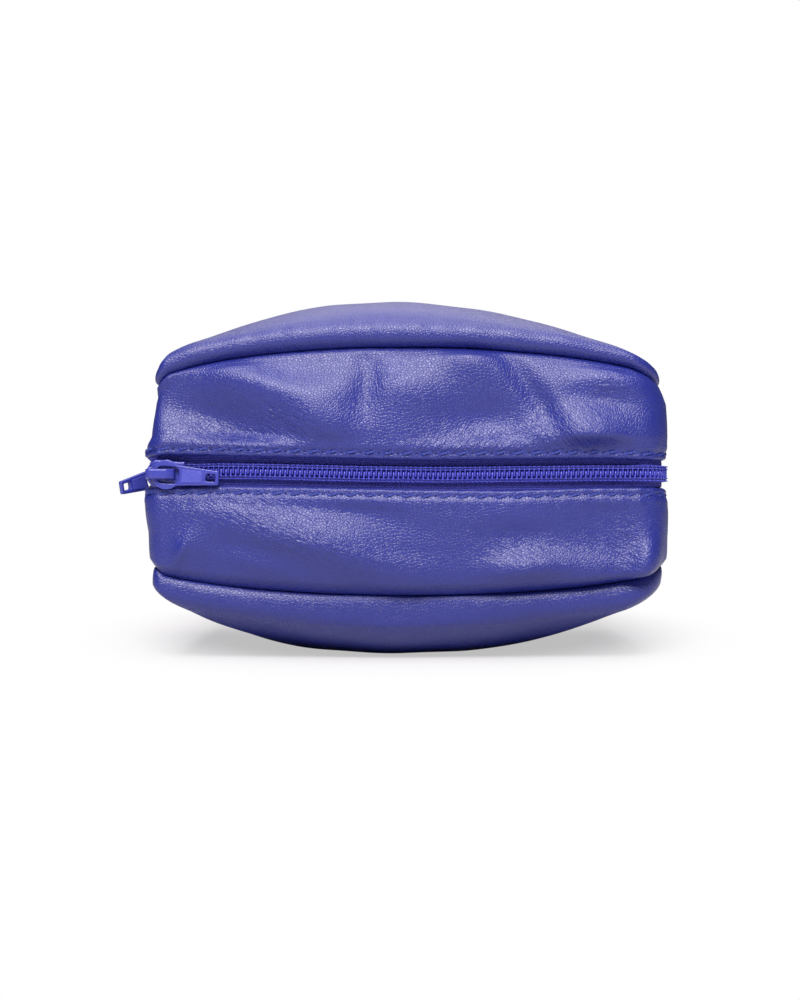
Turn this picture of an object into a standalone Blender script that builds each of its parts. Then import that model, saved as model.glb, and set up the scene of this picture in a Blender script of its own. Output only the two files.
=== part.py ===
"""Coin and key pouch of soft leather, with a coil zip round three sides and two sliders."""

import math

import bmesh
import bpy
from mathutils import Matrix, Vector

MM = 0.001

# Driving dimensions of the stuffed pouch, lying on its lower face panel with the zip to the front.
# X runs along the front, Y to the back and Z up. The origin is the middle of the patch it rests on.
LENGTH = 126.6 * MM
DEPTH = 84.0 * MM
ZIP_HEIGHT = 45.2 * MM
UPPER_CROWN_RISE = 45.8 * MM
LOWER_CROWN_DROP = 46.8 * MM

# Corners of the band seen from above, at the outside of the leather.
LEFT_FRONT_CORNER = 4.4 * MM
RIGHT_FRONT_CORNER = 9.0 * MM
REAR_CORNER = 10.0 * MM
LEAST_CORNER = 1.2 * MM

# Height of the two turned seams from the middle of the zip, at mid length and at the ends.
ARCH_POWER = 0.6
UPPER_SEAM_RISE = 30.8 * MM
UPPER_SEAM_END_RISE = 20.5 * MM
LOWER_SEAM_DROP = 29.4 * MM
LOWER_SEAM_END_DROP = 20.8 * MM

# How far the band leans in at the seams, and how much it bulges between zip and seam.
MIDDLE_LEAN = 4.0 * MM
END_LEAN = 1.6 * MM
MIDDLE_BULGE = 1.2 * MM
END_BULGE = 0.1 * MM

# The face panels' rolled edge stands over the seam, then turns into the dome.
ROLL_OVERHANG = 2.0 * MM
END_ROLL_OVERHANG = 0.7 * MM
ROLL_HEIGHT = 6.0 * MM
DOME_POWER = 2.3

# Leather, cloth and what keeps the layers apart.
LEATHER = 1.0 * MM
CLOTH = 0.5 * MM
LAYER_GAP = 0.3 * MM
MERGE = LAYER_GAP / 100
SEAM_ALLOWANCE = 2.2 * MM
HEM = 6.0 * MM
ZIP_WINDOW = 7.6 * MM
LINING_DROP = 2.5 * MM
LINING_EDGE_GAP = 0.6 * MM
BACK_SEAM_GAP = 0.6 * MM
FACE_SEAM_GAP = 0.4 * MM
LINING_CORNER = 5.0 * MM

# Coil zip, size 3: two coils side by side on two woven tapes.
CHAIN_WIDTH = 4.0 * MM
COIL_PITCH = 1.18 * MM
COIL_THICKNESS = 0.9 * MM
LOOP_WIDTH = 0.42 * MM
LOOP_REACH = 0.75 * MM
COIL_ROOT = 0.7 * MM
TAPE_EDGE = 1.2 * MM
TAPE_WIDTH = 7.3 * MM
CHAIN_END = 3.0 * MM
OPEN_SPREAD = 1.35 * MM
SPREAD_RUN = 1.2 * MM

# Sliders and their pulls.
SLIDER_LENGTH = 9.0 * MM
NOSE_REACH = 1.9 * MM
SLIDER_WIDTH = 6.8 * MM
SLIDER_TAIL_WIDTH = 5.9 * MM
WING = 0.7 * MM
INNER_WING_SHORTER = 3.3 * MM
FLANGE = 0.5 * MM
FLANGE_GAP = 0.45 * MM
FLANGE_LENGTH = 2.0 * MM
POST_WIDTH = 1.0 * MM
POST_LENGTH = 1.2 * MM
BRIDGE_WIDTH = 2.4 * MM
BRIDGE_STRAP = 0.7 * MM
BRIDGE_LENGTH = 6.8 * MM
BRIDGE_FOOT = 0.8 * MM
PULL_LENGTH = 16.0 * MM
PULL_HEAD = 7.0 * MM
PULL_NECK_WIDTH = 4.9 * MM
PULL_TIP_WIDTH = 3.3 * MM
PULL_THICKNESS = 1.1 * MM
PULL_BAR = 1.2 * MM
PIN_SHARE = 0.95
PULL_EYE_LENGTH = 5.4 * MM
PULL_EYE_WIDTH = 4.2 * MM
PULL_EDGE = 0.15 * MM
TIP_HOLE_LENGTH = 2.3 * MM
TIP_HOLE_WIDTH = 1.8 * MM
TIP_HOLE_MARGIN = 0.8 * MM
FRONT_SLIDER_FROM_LEFT = 3.2 * MM
END_SLIDER_FROM_FRONT = 30.0 * MM
END_PULL_SWING = math.radians(148)
END_PULL_DROOP = math.radians(12)
FRONT_PULL_DROOP = math.radians(4)

# Small metal stops at the ends of the chain.
STOP_LENGTH = 2.0 * MM
STOP_HEIGHT = 2.0 * MM
STOP_THICKNESS = 1.0 * MM

# Split ring on its leather tab, inside at the back.
RING_RADIUS = 9.0 * MM
RING_WIRE = 1.2 * MM
RING_TURNS = 2
RING_DROP = 9.2 * MM
TAB_WIDTH = 7.0 * MM
TAB_HOLE = 2.2 * MM
TAB_REACH = 5.3 * MM
TAB_LENGTH = 7.0 * MM

HALF_LENGTH = LENGTH / 2
HALF_DEPTH = DEPTH / 2
UP = 1
DOWN = -1
HEM_INSET = 2 * LEATHER + LAYER_GAP
TAPE_INSET = HEM_INSET + LAYER_GAP
COIL_INSET = TAPE_INSET - LAYER_GAP - COIL_THICKNESS
LINING_INSET = TAPE_INSET + CLOTH + LAYER_GAP
WING_INSET = COIL_INSET - LAYER_GAP - WING
INNER_WING_INSET = TAPE_INSET + CLOTH + LAYER_GAP
HALF_WINDOW = ZIP_WINDOW / 2
PIN_HEIGHT = PIN_SHARE * PULL_BAR
WING_SINK = WING / 2
HALF_TURN = math.pi
QUARTER_TURN = math.pi / 2

LEATHER_BLUE = (0.058, 0.060, 0.38, 1.0)
COIL_BLUE = (0.075, 0.078, 0.50, 1.0)
TAPE_BLUE = (0.030, 0.028, 0.22, 1.0)
PAINT_BLUE = (0.065, 0.072, 0.45, 1.0)
LINING_BLUE = (0.020, 0.020, 0.10, 1.0)
STEEL_GREY = (0.60, 0.60, 0.62, 1.0)


def clear_scene():
    for old in list(bpy.data.objects):
        bpy.data.objects.remove(old)


def new_collection(title):
    collection = bpy.data.collections.new(title)
    bpy.context.scene.collection.children.link(collection)
    return collection


def material(title, colour, roughness, metallic=0.0):
    made = bpy.data.materials.new(title)
    made.use_nodes = True
    shader = made.node_tree.nodes["Principled BSDF"]
    shader.inputs["Base Color"].default_value = colour
    shader.inputs["Roughness"].default_value = roughness
    shader.inputs["Metallic"].default_value = metallic
    made.diffuse_color = colour
    return made


def add_object(title, mesh, finish):
    """Link a mesh as one part of the pouch, with its finish."""
    made = bpy.data.objects.new(title, mesh)
    parts.objects.link(made)
    mesh.materials.clear()
    mesh.materials.append(finish)
    return made


def shade_round(mesh, angle=math.radians(40)):
    mesh.shade_smooth()
    mesh.set_sharp_from_angle(angle=angle)


def band_run(inset, least_corner=LEAST_CORNER, whole=False):
    """Straights and arcs of the band from above, at an inset from its outside, front run in the middle.

    Each is (start, heading, length, radius), the radius being zero on a straight. The run starts at
    the left rear corner and ends at the right rear one. A whole run closes along the back as well.
    """
    across = HALF_LENGTH - inset
    deep = HALF_DEPTH - inset
    rear = max(REAR_CORNER - inset, least_corner)
    left = max(LEFT_FRONT_CORNER - inset, least_corner)
    right = max(RIGHT_FRONT_CORNER - inset, least_corner)
    pieces = [
        (Vector((-across + rear, deep)), 2, QUARTER_TURN * rear, rear),
        (Vector((-across, deep - rear)), 3, 2 * deep - rear - left, 0),
        (Vector((-across, -deep + left)), 3, QUARTER_TURN * left, left),
        (Vector((-across + left, -deep)), 0, 2 * across - left - right, 0),
        (Vector((across - right, -deep)), 0, QUARTER_TURN * right, right),
        (Vector((across, -deep + right)), 1, 2 * deep - right - rear, 0),
        (Vector((across, deep - rear)), 1, QUARTER_TURN * rear, rear),
    ]
    if whole:
        pieces.append((Vector((across - rear, deep)), 2, 2 * across - 2 * rear, 0))
    return pieces


def on_piece(piece, share):
    """Point, heading and outward direction at a share of one straight or arc."""
    start, quarter, length, radius = piece
    heading = quarter * QUARTER_TURN
    if radius:
        turned = heading + share * QUARTER_TURN
        centre = start + radius * Vector((-math.sin(heading), math.cos(heading)))
        outward = Vector((math.sin(turned), -math.cos(turned)))
        return centre + radius * outward, turned, outward
    point = start + share * length * Vector((math.cos(heading), math.sin(heading)))
    return point, heading, Vector((math.sin(heading), -math.cos(heading)))


def along_run(run, distance):
    """Point, heading and outward direction at a distance along a run."""
    for piece in run:
        if distance <= piece[2]:
            return on_piece(piece, distance / piece[2])
        distance -= piece[2]
    return on_piece(run[-1], 1)


def stations(counts):
    """(piece, share) for each column of a sheet, with a count of columns for each piece of the run."""
    listed = []
    for piece, count in enumerate(counts):
        listed += [(piece, step / count) for step in range(count)]
    return listed + [(len(counts) - 1, 1.0)]


def arch(x):
    """1 at mid length, falling to 0 at the ends, steeply as an ellipse does."""
    return max(0.0, 1 - (x / HALF_LENGTH) ** 2) ** ARCH_POWER


def seam_height(x, side):
    if side == UP:
        return UPPER_SEAM_END_RISE + (UPPER_SEAM_RISE - UPPER_SEAM_END_RISE) * arch(x)
    return LOWER_SEAM_END_DROP + (LOWER_SEAM_DROP - LOWER_SEAM_END_DROP) * arch(x)


def lean_at(x):
    return END_LEAN + (MIDDLE_LEAN - END_LEAN) * arch(x)


def bulge_at(x):
    return END_BULGE + (MIDDLE_BULGE - END_BULGE) * arch(x)


def overhang_at(x):
    return END_ROLL_OVERHANG + (ROLL_OVERHANG - END_ROLL_OVERHANG) * arch(x)


def band_inset(height, x, side):
    """How far inside the zip's line the band's outer face is, at a height from the zip."""
    share = min(1.0, height / seam_height(x, side))
    start_share = HALF_WINDOW / seam_height(x, side)
    swell_share = max(0.0, (share - start_share) / (1 - start_share))
    return lean_at(x) * swell_share**2 - bulge_at(x) * math.sin(HALF_TURN * swell_share)


def at_station(run_inset, station, height, side, least_corner=LEAST_CORNER):
    """World point at a station of the whole run, at an inset and a height from the zip's middle."""
    run = band_run(run_inset, least_corner, whole=True)
    point, _, _ = on_piece(run[station[0]], station[1])
    return Vector((point.x, point.y, ZIP_HEIGHT + side * height))


def column_x(station):
    """Place along the length of a column, which sets how high the seams are there."""
    return at_station(0, station, 0, UP).x


def sheet(title, columns, rows, place, thickness, finish, side=UP, closed=False):
    """One skin: a grid laid out by place(station, row), given its thickness on the inside."""
    bm = bmesh.new()
    bmesh.ops.create_grid(bm, x_segments=len(columns) - 1, y_segments=rows - 1, size=0.5)
    for vert in bm.verts:
        column = columns[round((vert.co.x + 0.5) * (len(columns) - 1))]
        vert.co = place(column, round((vert.co.y + 0.5) * (rows - 1)))
    if closed:
        bmesh.ops.remove_doubles(bm, verts=bm.verts, dist=MERGE)
    if side == DOWN:
        bmesh.ops.reverse_faces(bm, faces=bm.faces)
    mesh = bpy.data.meshes.new(title)
    bm.to_mesh(mesh)
    bm.free()
    shade_round(mesh)
    made = add_object(title, mesh, finish)
    wall = made.modifiers.new("thickness", "SOLIDIFY")
    wall.thickness = thickness
    wall.offset = -1
    wall.use_even_offset = True
    return made


# Zip gussets. From the zip up: the hem turned behind, the fold, the wall and the seam allowance.
FOLD_ANGLES = [HALF_TURN * share for share in (0.0, 0.5, 1.0)]
WALL_SHARES = (0.3, 0.62, 0.92)
RUN_COLUMNS = (4, 3, 4, 9, 4, 3, 4)
BACK_COLUMNS = 8


def wall_rows(x, side, start):
    """(inset, height) up the band's outer face from a start height to the end of the seam allowance."""
    seam = seam_height(x, side)
    rows = []
    for share in WALL_SHARES:
        height = start + share * (seam - start)
        rows.append((band_inset(height, x, side), height))
    rows.append((lean_at(x) + LEATHER / 4, seam))
    rows.append((lean_at(x) + SEAM_ALLOWANCE, seam))
    return rows


def zip_gusset_rows(x, side):
    fold = HEM_INSET / 2
    rows = [(HEM_INSET, HALF_WINDOW + HEM)]
    for angle in reversed(FOLD_ANGLES):
        rows.append((fold - fold * math.cos(angle), HALF_WINDOW + fold - fold * math.sin(angle)))
    return rows + wall_rows(x, side, HALF_WINDOW + fold)


def make_zip_gusset(title, side, finish):
    count = len(zip_gusset_rows(0, side))

    def place(station, row):
        inset, height = zip_gusset_rows(column_x(station), side)[row]
        return at_station(inset, station, height, side)

    return sheet(title, stations(RUN_COLUMNS), count, place, LEATHER, finish, side)


# Back gusset. The strip is split where it folds, level with the zip.
def make_back_gusset(title, side, finish):
    half_gap = LAYER_GAP / 2
    back_columns = [(7, share) for share in back_shares()]

    def rows_at(x):
        return [(0, half_gap)] + wall_rows(x, side, half_gap)

    def place(station, row):
        inset, height = rows_at(column_x(station))[row]
        return at_station(inset, station, height, side)

    return sheet(title, back_columns, len(rows_at(0)), place, LEATHER, finish, side)


def back_shares():
    """Shares of the back run, ending a gap short of the zip gussets' ends."""
    end_share = BACK_SEAM_GAP / (LENGTH - 2 * REAR_CORNER)
    inner = [step / BACK_COLUMNS for step in range(1, BACK_COLUMNS)]
    return [end_share, *inner, 1 - end_share]


# Face panels. From the seam allowance round the roll and over the dome to its middle.
PANEL_COLUMNS = (*RUN_COLUMNS, BACK_COLUMNS)
ROLL_SHARES = ((0.0, 0.0), (0.9, 0.25), (1.0, 0.65))
DOME_SHARES = (0.96, 0.84, 0.62, 0.32, 0.0)


def crown_height(side):
    return UPPER_CROWN_RISE if side == UP else LOWER_CROWN_DROP


def dome_point(station, share, side, inset, drop, least_corner):
    """World point of the dome at a share of the way from its middle to its rim.

    Its contours turn from the band's own outline at the rim into ellipses towards the middle.
    """
    x = column_x(station)
    edge_height = seam_height(x, side) + ROLL_HEIGHT
    height = edge_height + (crown_height(side) - edge_height) * (1 - share**DOME_POWER) - drop
    rim = at_station(inset, station, height, side, least_corner)
    along_share = abs(rim.x) / HALF_LENGTH
    deep_share = abs(rim.y) / HALF_DEPTH
    round_share = max(along_share, deep_share) / math.hypot(along_share, deep_share)
    in_share = share * (share + (1 - share) * round_share)
    point = Vector((rim.x * in_share, rim.y * in_share, rim.z))
    point.z = max(point.z, drop) if side == DOWN else point.z
    return point


def make_face_panel(title, side, finish):
    rows = 1 + len(ROLL_SHARES) + len(DOME_SHARES)

    def place(station, row):
        x = column_x(station)
        base = seam_height(x, side) + FACE_SEAM_GAP
        if row == 0:
            return at_station(lean_at(x) + SEAM_ALLOWANCE, station, base, side)
        if row <= len(ROLL_SHARES):
            out_share, up_share = ROLL_SHARES[row - 1]
            inset = lean_at(x) - out_share * overhang_at(x)
            return at_station(inset, station, base + up_share * (ROLL_HEIGHT - FACE_SEAM_GAP), side)
        share = DOME_SHARES[row - 1 - len(ROLL_SHARES)]
        return dome_point(station, share, side, lean_at(x) - overhang_at(x) / 4, 0, LEAST_CORNER)

    return sheet(title, stations(PANEL_COLUMNS), rows, place, LEATHER, finish, side, closed=True)


# Lining: a cloth bag in two halves, held at the zip and hanging clear inside.
LINING_WALL_SHARES = (0.0, 0.5, 0.9)
LINING_DOME_SHARES = (1.0, 0.78, 0.4, 0.0)
LINING_COLUMNS = (3, 2, 2, 5, 3, 2, 3, 5)


def lining_edge(station):
    """Height of the lining's edge from the zip's middle: at the window in front, at the fold behind."""
    edge = HALF_WINDOW + LINING_EDGE_GAP
    piece, share = station
    if piece == 7:
        return LAYER_GAP / 2
    if piece == 0:
        return LAYER_GAP / 2 + (edge - LAYER_GAP / 2) * share
    if piece == 6:
        return edge + (LAYER_GAP / 2 - edge) * share
    return edge


def make_lining(title, side, finish):
    rows = len(LINING_WALL_SHARES) + len(LINING_DOME_SHARES)

    def place(station, row):
        x = column_x(station)
        seam = seam_height(x, side)
        if row < len(LINING_WALL_SHARES):
            edge = lining_edge(station)
            height = edge + LINING_WALL_SHARES[row] * (seam - edge)
            inset = max(0.0, band_inset(height, x, side)) + LINING_INSET
            return at_station(inset, station, height, side, LINING_CORNER)
        share = LINING_DOME_SHARES[row - len(LINING_WALL_SHARES)]
        inset = lean_at(x) + LINING_INSET + LEATHER
        return dome_point(station, share, side, inset, LINING_DROP, LINING_CORNER)

    return sheet(title, stations(LINING_COLUMNS), rows, place, CLOTH, finish, side, closed=True)


# Zip. The two halves part a little between the sliders, where the chain is open.
def chain_ends(run):
    """Distances along a run between which the chain has its loops."""
    return run[0][2] + CHAIN_END, sum(piece[2] for piece in run) - run[-1][2] - CHAIN_END


def front_slider_x():
    return -HALF_LENGTH + FRONT_SLIDER_FROM_LEFT


def end_slider_y():
    return -HALF_DEPTH + END_SLIDER_FROM_FRONT


def smooth(share):
    share = min(1.0, max(0.0, share))
    return share * share * (3 - 2 * share)


def meshing_place(pin):
    """Place along a slider where its chain is just closed, for a pin at a place on the same line."""
    return pin - NOSE_REACH + INNER_WING_SHORTER + 2 * LAYER_GAP + POST_LENGTH + SPREAD_RUN


def spread_at(point, outward):
    """How far each half of the chain has moved away from the middle."""
    if -outward.x > 0.5:
        return OPEN_SPREAD * smooth((meshing_place(end_slider_y()) - point.y) / SPREAD_RUN)
    if -outward.y > 0.5:
        return OPEN_SPREAD * smooth((meshing_place(front_slider_x()) - point.x) / SPREAD_RUN)
    return 0.0


def zip_point(run, distance, height, side):
    point, _, outward = along_run(run, distance)
    return Vector((point.x, point.y, ZIP_HEIGHT + side * (height + spread_at(point, outward))))


def tape_marks(run):
    """Distances along the tape where it bends or parts."""
    rear = run[0][2]
    left = rear + run[1][2]
    front = left + run[2][2]
    right = front + run[3][2]
    far = right + run[4][2] + run[5][2]
    marks = [rear * share for share in (0.5, 0.75, 1.0)]
    end_mesh = rear + HALF_DEPTH - REAR_CORNER - meshing_place(end_slider_y())
    marks += [end_mesh, end_mesh + SPREAD_RUN / 2, end_mesh + SPREAD_RUN]
    marks += [left + run[2][2] * share for share in (0.0, 0.33, 0.67, 1.0)]
    front_mesh = front + meshing_place(front_slider_x()) + HALF_LENGTH - LEFT_FRONT_CORNER
    marks += [front_mesh - SPREAD_RUN, front_mesh - SPREAD_RUN / 2, front_mesh, (front + right) / 2]
    marks += [right + run[4][2] * share for share in (0.0, 0.25, 0.5, 0.75, 1.0)]
    return marks + [far + run[6][2] * share for share in (0.0, 0.25, 0.5)]


def make_tape(title, side, finish):
    run = band_run(TAPE_INSET)
    marks = tape_marks(run)

    def place(distance, row):
        return zip_point(run, distance, TAPE_EDGE + row * TAPE_WIDTH, side)

    return sheet(title, marks, 2, place, CLOTH, finish, side)


LOOPS_A_GROUP = 2


def make_coil(title, side, finish):
    """One coil seen flat: loops on a root that is sewn to the tape, the two coils half a pitch apart."""
    run = band_run(COIL_INSET + COIL_THICKNESS / 2)
    start, end = chain_ends(run)
    groups = int((end - start - COIL_PITCH) / (COIL_PITCH * LOOPS_A_GROUP))
    first = start + (COIL_PITCH / 2 if side == UP else 0)
    outer = CHAIN_WIDTH / 2
    root = outer - COIL_ROOT

    bm = bmesh.new()

    def vert(distance, height):
        return bm.verts.new(zip_point(run, distance, height, side))

    outer_before = vert(first, outer)
    root_before = vert(first, root)
    for group in range(groups):
        corners = [outer_before, root_before]
        for loop in range(LOOPS_A_GROUP):
            low = first + (group * LOOPS_A_GROUP + loop) * COIL_PITCH
            if loop:
                corners.append(vert(low, root))
            corners += [vert(low, -LOOP_REACH), vert(low + LOOP_WIDTH, -LOOP_REACH)]
            corners.append(vert(low + LOOP_WIDTH, root))
        root_before = vert(low + COIL_PITCH, root)
        outer_before = vert(low + COIL_PITCH, outer)
        bm.faces.new([*corners, root_before, outer_before])
    bm.normal_update()
    if side == DOWN:
        bmesh.ops.reverse_faces(bm, faces=bm.faces)
    bmesh.ops.reverse_faces(bm, faces=bm.faces)
    mesh = bpy.data.meshes.new(title)
    bm.to_mesh(mesh)
    bm.free()
    made = add_object(title, mesh, finish)
    depth = made.modifiers.new("depth", "SOLIDIFY")
    depth.thickness = COIL_THICKNESS
    depth.offset = 0
    depth.use_even_offset = False
    return made


def make_stop(title, side, at_start, finish):
    """Small block pinched on one tape just past the last loop."""
    run = band_run(COIL_INSET + COIL_THICKNESS / 2)
    start, end = chain_ends(run)
    distance = start - STOP_LENGTH / 2 - LAYER_GAP if at_start else end + STOP_LENGTH / 2 + COIL_PITCH
    point, heading, _ = along_run(run, distance)
    bm = bmesh.new()
    bmesh.ops.create_cube(bm, size=1.0)
    size = Matrix.Diagonal((STOP_LENGTH, STOP_THICKNESS, STOP_HEIGHT, 1))
    bmesh.ops.transform(bm, matrix=size, verts=bm.verts)
    mesh = bpy.data.meshes.new(title)
    bm.to_mesh(mesh)
    bm.free()
    made = add_object(title, mesh, finish)
    height = TAPE_EDGE + STOP_HEIGHT / 2
    made.location = (point.x, point.y, ZIP_HEIGHT + side * height)
    made.rotation_euler = (0, 0, heading)
    return made


# Sliders. Local x runs from the nose to the tail, local y into the pouch and local z along the bridge's
# pin line, with the origin where the pull turns.
def flat_shape(title, outlines, thickness, edge=0.0):
    """Mesh of a flat outline with holes, in x and z, half its thickness each way from y zero."""
    curve = bpy.data.curves.new(title, "CURVE")
    curve.dimensions = "2D"
    curve.fill_mode = "BOTH"
    curve.extrude = thickness / 2 - edge
    curve.bevel_depth = edge
    curve.bevel_resolution = 0
    curve.offset = -edge
    for outline in outlines:
        spline = curve.splines.new("POLY")
        spline.points.add(len(outline) - 1)
        for point, (x, z) in zip(spline.points, outline, strict=True):
            point.co = (x, z, 0, 1)
        spline.use_cyclic_u = True
    carrier = bpy.data.objects.new(title, curve)
    parts.objects.link(carrier)
    bpy.context.view_layer.update()
    graph = bpy.context.evaluated_depsgraph_get()
    mesh = bpy.data.meshes.new_from_object(carrier.evaluated_get(graph), depsgraph=graph)
    bpy.data.objects.remove(carrier)
    bm = bmesh.new()
    bm.from_mesh(mesh)
    bmesh.ops.remove_doubles(bm, verts=bm.verts, dist=MERGE)
    bmesh.ops.rotate(bm, verts=bm.verts, matrix=Matrix.Rotation(QUARTER_TURN, 3, "X"))
    bmesh.ops.recalc_face_normals(bm, faces=bm.faces)
    bm.to_mesh(mesh)
    bm.free()
    return mesh


def moved(mesh, offset, turn=None):
    mesh.transform(Matrix.Translation(offset) @ (turn if turn else Matrix.Identity(4)))
    return mesh


def block(title, low, high):
    """Mesh of a box between two corners."""
    bm = bmesh.new()
    bmesh.ops.create_cube(bm, size=1.0)
    low = Vector(low)
    high = Vector(high)
    place = Matrix.Translation((low + high) / 2) @ Matrix.Diagonal((*(high - low), 1))
    bmesh.ops.transform(bm, matrix=place, verts=bm.verts)
    mesh = bpy.data.meshes.new(title)
    bm.to_mesh(mesh)
    bm.free()
    return mesh


def fuse(title, meshes, finish):
    """One part made of several overlapping solids."""
    made = add_object(title, meshes[0], finish)
    for index, mesh in enumerate(meshes[1:]):
        tool = bpy.data.objects.new(f"{title}_piece_{index}", mesh)
        cutters.objects.link(tool)
        tool.hide_render = True
        tool.display_type = "WIRE"
        join = made.modifiers.new(f"join_{index}", "BOOLEAN")
        join.operation = "UNION"
        join.object = tool
        tool.parent = made
    return made


# A wing's outline: place as a share of a fifth of its length from the nose, and width as a share of
# its half width. The tail follows with its own width.
WING_NOSE_SHARES = ((0.0, 0.45), (0.5, 0.85), (1.0, 1.0), (2.0, 1.0))
WING_FIFTHS = 5


def wing_outline(shorter):
    """Outline of a wing: round nose, waist and square tail."""
    nose = -NOSE_REACH + shorter
    tail = SLIDER_LENGTH - NOSE_REACH
    fifth = (SLIDER_LENGTH - shorter) / WING_FIFTHS
    upper = [(nose + along * fifth, across * SLIDER_WIDTH / 2) for along, across in WING_NOSE_SHARES]
    upper += [(tail - fifth, SLIDER_TAIL_WIDTH / 2), (tail, SLIDER_TAIL_WIDTH / 2)]
    return upper + [(x, -z) for x, z in reversed(upper)]


# Heights of the bridge's two shoulders as shares of its top.
BRIDGE_NOSE_SHARE = 0.7
BRIDGE_TAIL_SHARE = 0.55


def bridge_outline():
    """Side of the bridge: x along the slider and height over the wing."""
    top = 2 * PIN_HEIGHT + BRIDGE_STRAP
    left = -PULL_BAR - BRIDGE_FOOT
    right = left + BRIDGE_LENGTH
    inside = -PULL_BAR
    return [
        (left, -WING_SINK),
        (left, top * BRIDGE_NOSE_SHARE),
        (left + BRIDGE_FOOT, top),
        (right - 2 * BRIDGE_FOOT, top),
        (right, top * BRIDGE_TAIL_SHARE),
        (right, -WING_SINK),
        (right - 2 * BRIDGE_FOOT, -WING_SINK),
        (inside + 2 * PULL_BAR, 2 * PIN_HEIGHT),
        (inside + BRIDGE_FOOT / 2, 2 * PIN_HEIGHT),
        (inside, 2 * PIN_HEIGHT - BRIDGE_FOOT / 2),
        (inside, -WING_SINK),
    ]


def make_slider_body(title, finish):
    """Slider: two wings on a post, flanges along the tail, and the bridge that holds the pull."""
    nose = -NOSE_REACH
    tail = nose + SLIDER_LENGTH
    face = PIN_HEIGHT
    depth = INNER_WING_INSET - WING_INSET
    outer_wing = moved(flat_shape("outer_wing", [wing_outline(0)], WING), (0, face + WING / 2, 0))
    inner = [wing_outline(INNER_WING_SHORTER)]
    inner_wing = moved(flat_shape("inner_wing", inner, WING), (0, face + depth + WING / 2, 0))
    bridge = flat_shape("bridge", [bridge_outline()], BRIDGE_WIDTH)
    moved(bridge, (0, face, 0), Matrix.Rotation(QUARTER_TURN, 4, "X"))
    post_start = nose + INNER_WING_SHORTER + LAYER_GAP
    post = block(
        "post",
        (post_start, face + WING_SINK, -POST_WIDTH / 2),
        (post_start + POST_LENGTH, face + depth + WING_SINK, POST_WIDTH / 2),
    )
    flange_low = CHAIN_WIDTH / 2 + FLANGE_GAP
    flange_depth = face + TAPE_INSET - WING_INSET - LAYER_GAP
    pieces = [outer_wing, post, inner_wing, bridge]
    for side in (UP, DOWN):
        heights = sorted((side * flange_low, side * (flange_low + FLANGE)))
        low = (tail - FLANGE_LENGTH, face + WING_SINK, heights[0])
        high = (tail, flange_depth, heights[1])
        pieces.append(block("flange", low, high))
    return fuse(title, pieces, finish)


HEAD_STEPS = 14
CORNER_SHARE = 0.2


def arc_points(centre, radius, start, turn, steps):
    """Points along an arc from a start angle through a turn, about a centre."""
    angles = [start + turn * step / steps for step in range(steps + 1)]
    return [(centre[0] + radius * math.cos(a), centre[1] + radius * math.sin(a)) for a in angles]


def head_outline():
    """Outline of the pull: a round head, then a tab that narrows to a square tip."""
    radius = PULL_HEAD / 2
    centre = radius - PULL_BAR / 2
    neck_angle = math.asin(PULL_NECK_WIDTH / PULL_HEAD)
    turn = 2 * (HALF_TURN - neck_angle)
    points = arc_points((centre, 0), radius, neck_angle, turn, HEAD_STEPS)
    tip = PULL_LENGTH - PULL_BAR / 2
    half = PULL_TIP_WIDTH / 2
    corner = half * CORNER_SHARE
    points += [(tip - corner, -half), (tip, -half + corner), (tip, half - corner), (tip - corner, half)]
    return points


def hole_outline(start, length, width):
    """Rectangle with clipped corners."""
    half = width / 2
    clip = width * CORNER_SHARE
    end = start + length
    upper = [(start, half - clip), (start + clip, half), (end - clip, half), (end, half - clip)]
    return upper + [(x, -z) for x, z in reversed(upper)]


def make_pull(title, finish):
    tip = PULL_LENGTH - PULL_BAR / 2
    eye = hole_outline(PULL_BAR / 2, PULL_EYE_LENGTH, PULL_EYE_WIDTH)
    hole_start = tip - TIP_HOLE_MARGIN - TIP_HOLE_LENGTH
    hole = hole_outline(hole_start, TIP_HOLE_LENGTH, TIP_HOLE_WIDTH)
    mesh = flat_shape(title, [head_outline(), eye, hole], PULL_THICKNESS, PULL_EDGE)
    return add_object(title, mesh, finish)


def pin_at_front():
    """Where the front pull turns: over the outer wing."""
    return Vector((front_slider_x(), -HALF_DEPTH + WING_INSET - PIN_HEIGHT, ZIP_HEIGHT))


def pin_at_end():
    return Vector((-HALF_LENGTH + WING_INSET - PIN_HEIGHT, end_slider_y(), ZIP_HEIGHT))


def end_frame():
    """Turns a slider's own axes to the left end: tail to the back, inner side to the right."""
    return Matrix(((0, 1, 0), (1, 0, 0), (0, 0, -1))).to_4x4()


TAB_STEPS = 10


def make_key_tab(finish):
    """Loop of leather whose tail is sewn to the back, drawn in y and z and as wide as the tab."""
    centre_y, centre_z = ring_pin()
    wall = HALF_DEPTH - LINING_INSET - CLOTH - LAYER_GAP
    top = centre_z + TAB_LENGTH
    centre = (centre_y, centre_z)
    outer_radius = TAB_HOLE + LEATHER
    start = -QUARTER_TURN / 3
    outline = [(wall, top), (wall, centre_z + TAB_HOLE)]
    outline += arc_points(centre, outer_radius, start, start - HALF_TURN, TAB_STEPS)
    outline += [(wall - LEATHER, centre_z + outer_radius + LEATHER), (wall - LEATHER, top)]
    hole = arc_points(centre, TAB_HOLE, 0, 2 * HALF_TURN, TAB_STEPS)[:-1]
    mesh = flat_shape("key_tab", [outline, hole], TAB_WIDTH)
    mesh.transform(Matrix.Rotation(QUARTER_TURN, 4, "Z"))
    return add_object("key_tab", mesh, finish)


def ring_pin():
    """Where the split ring turns in its tab, in y and z."""
    wall = HALF_DEPTH - LINING_INSET - CLOTH - LAYER_GAP
    return wall - TAB_REACH, ZIP_HEIGHT - RING_DROP


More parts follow.
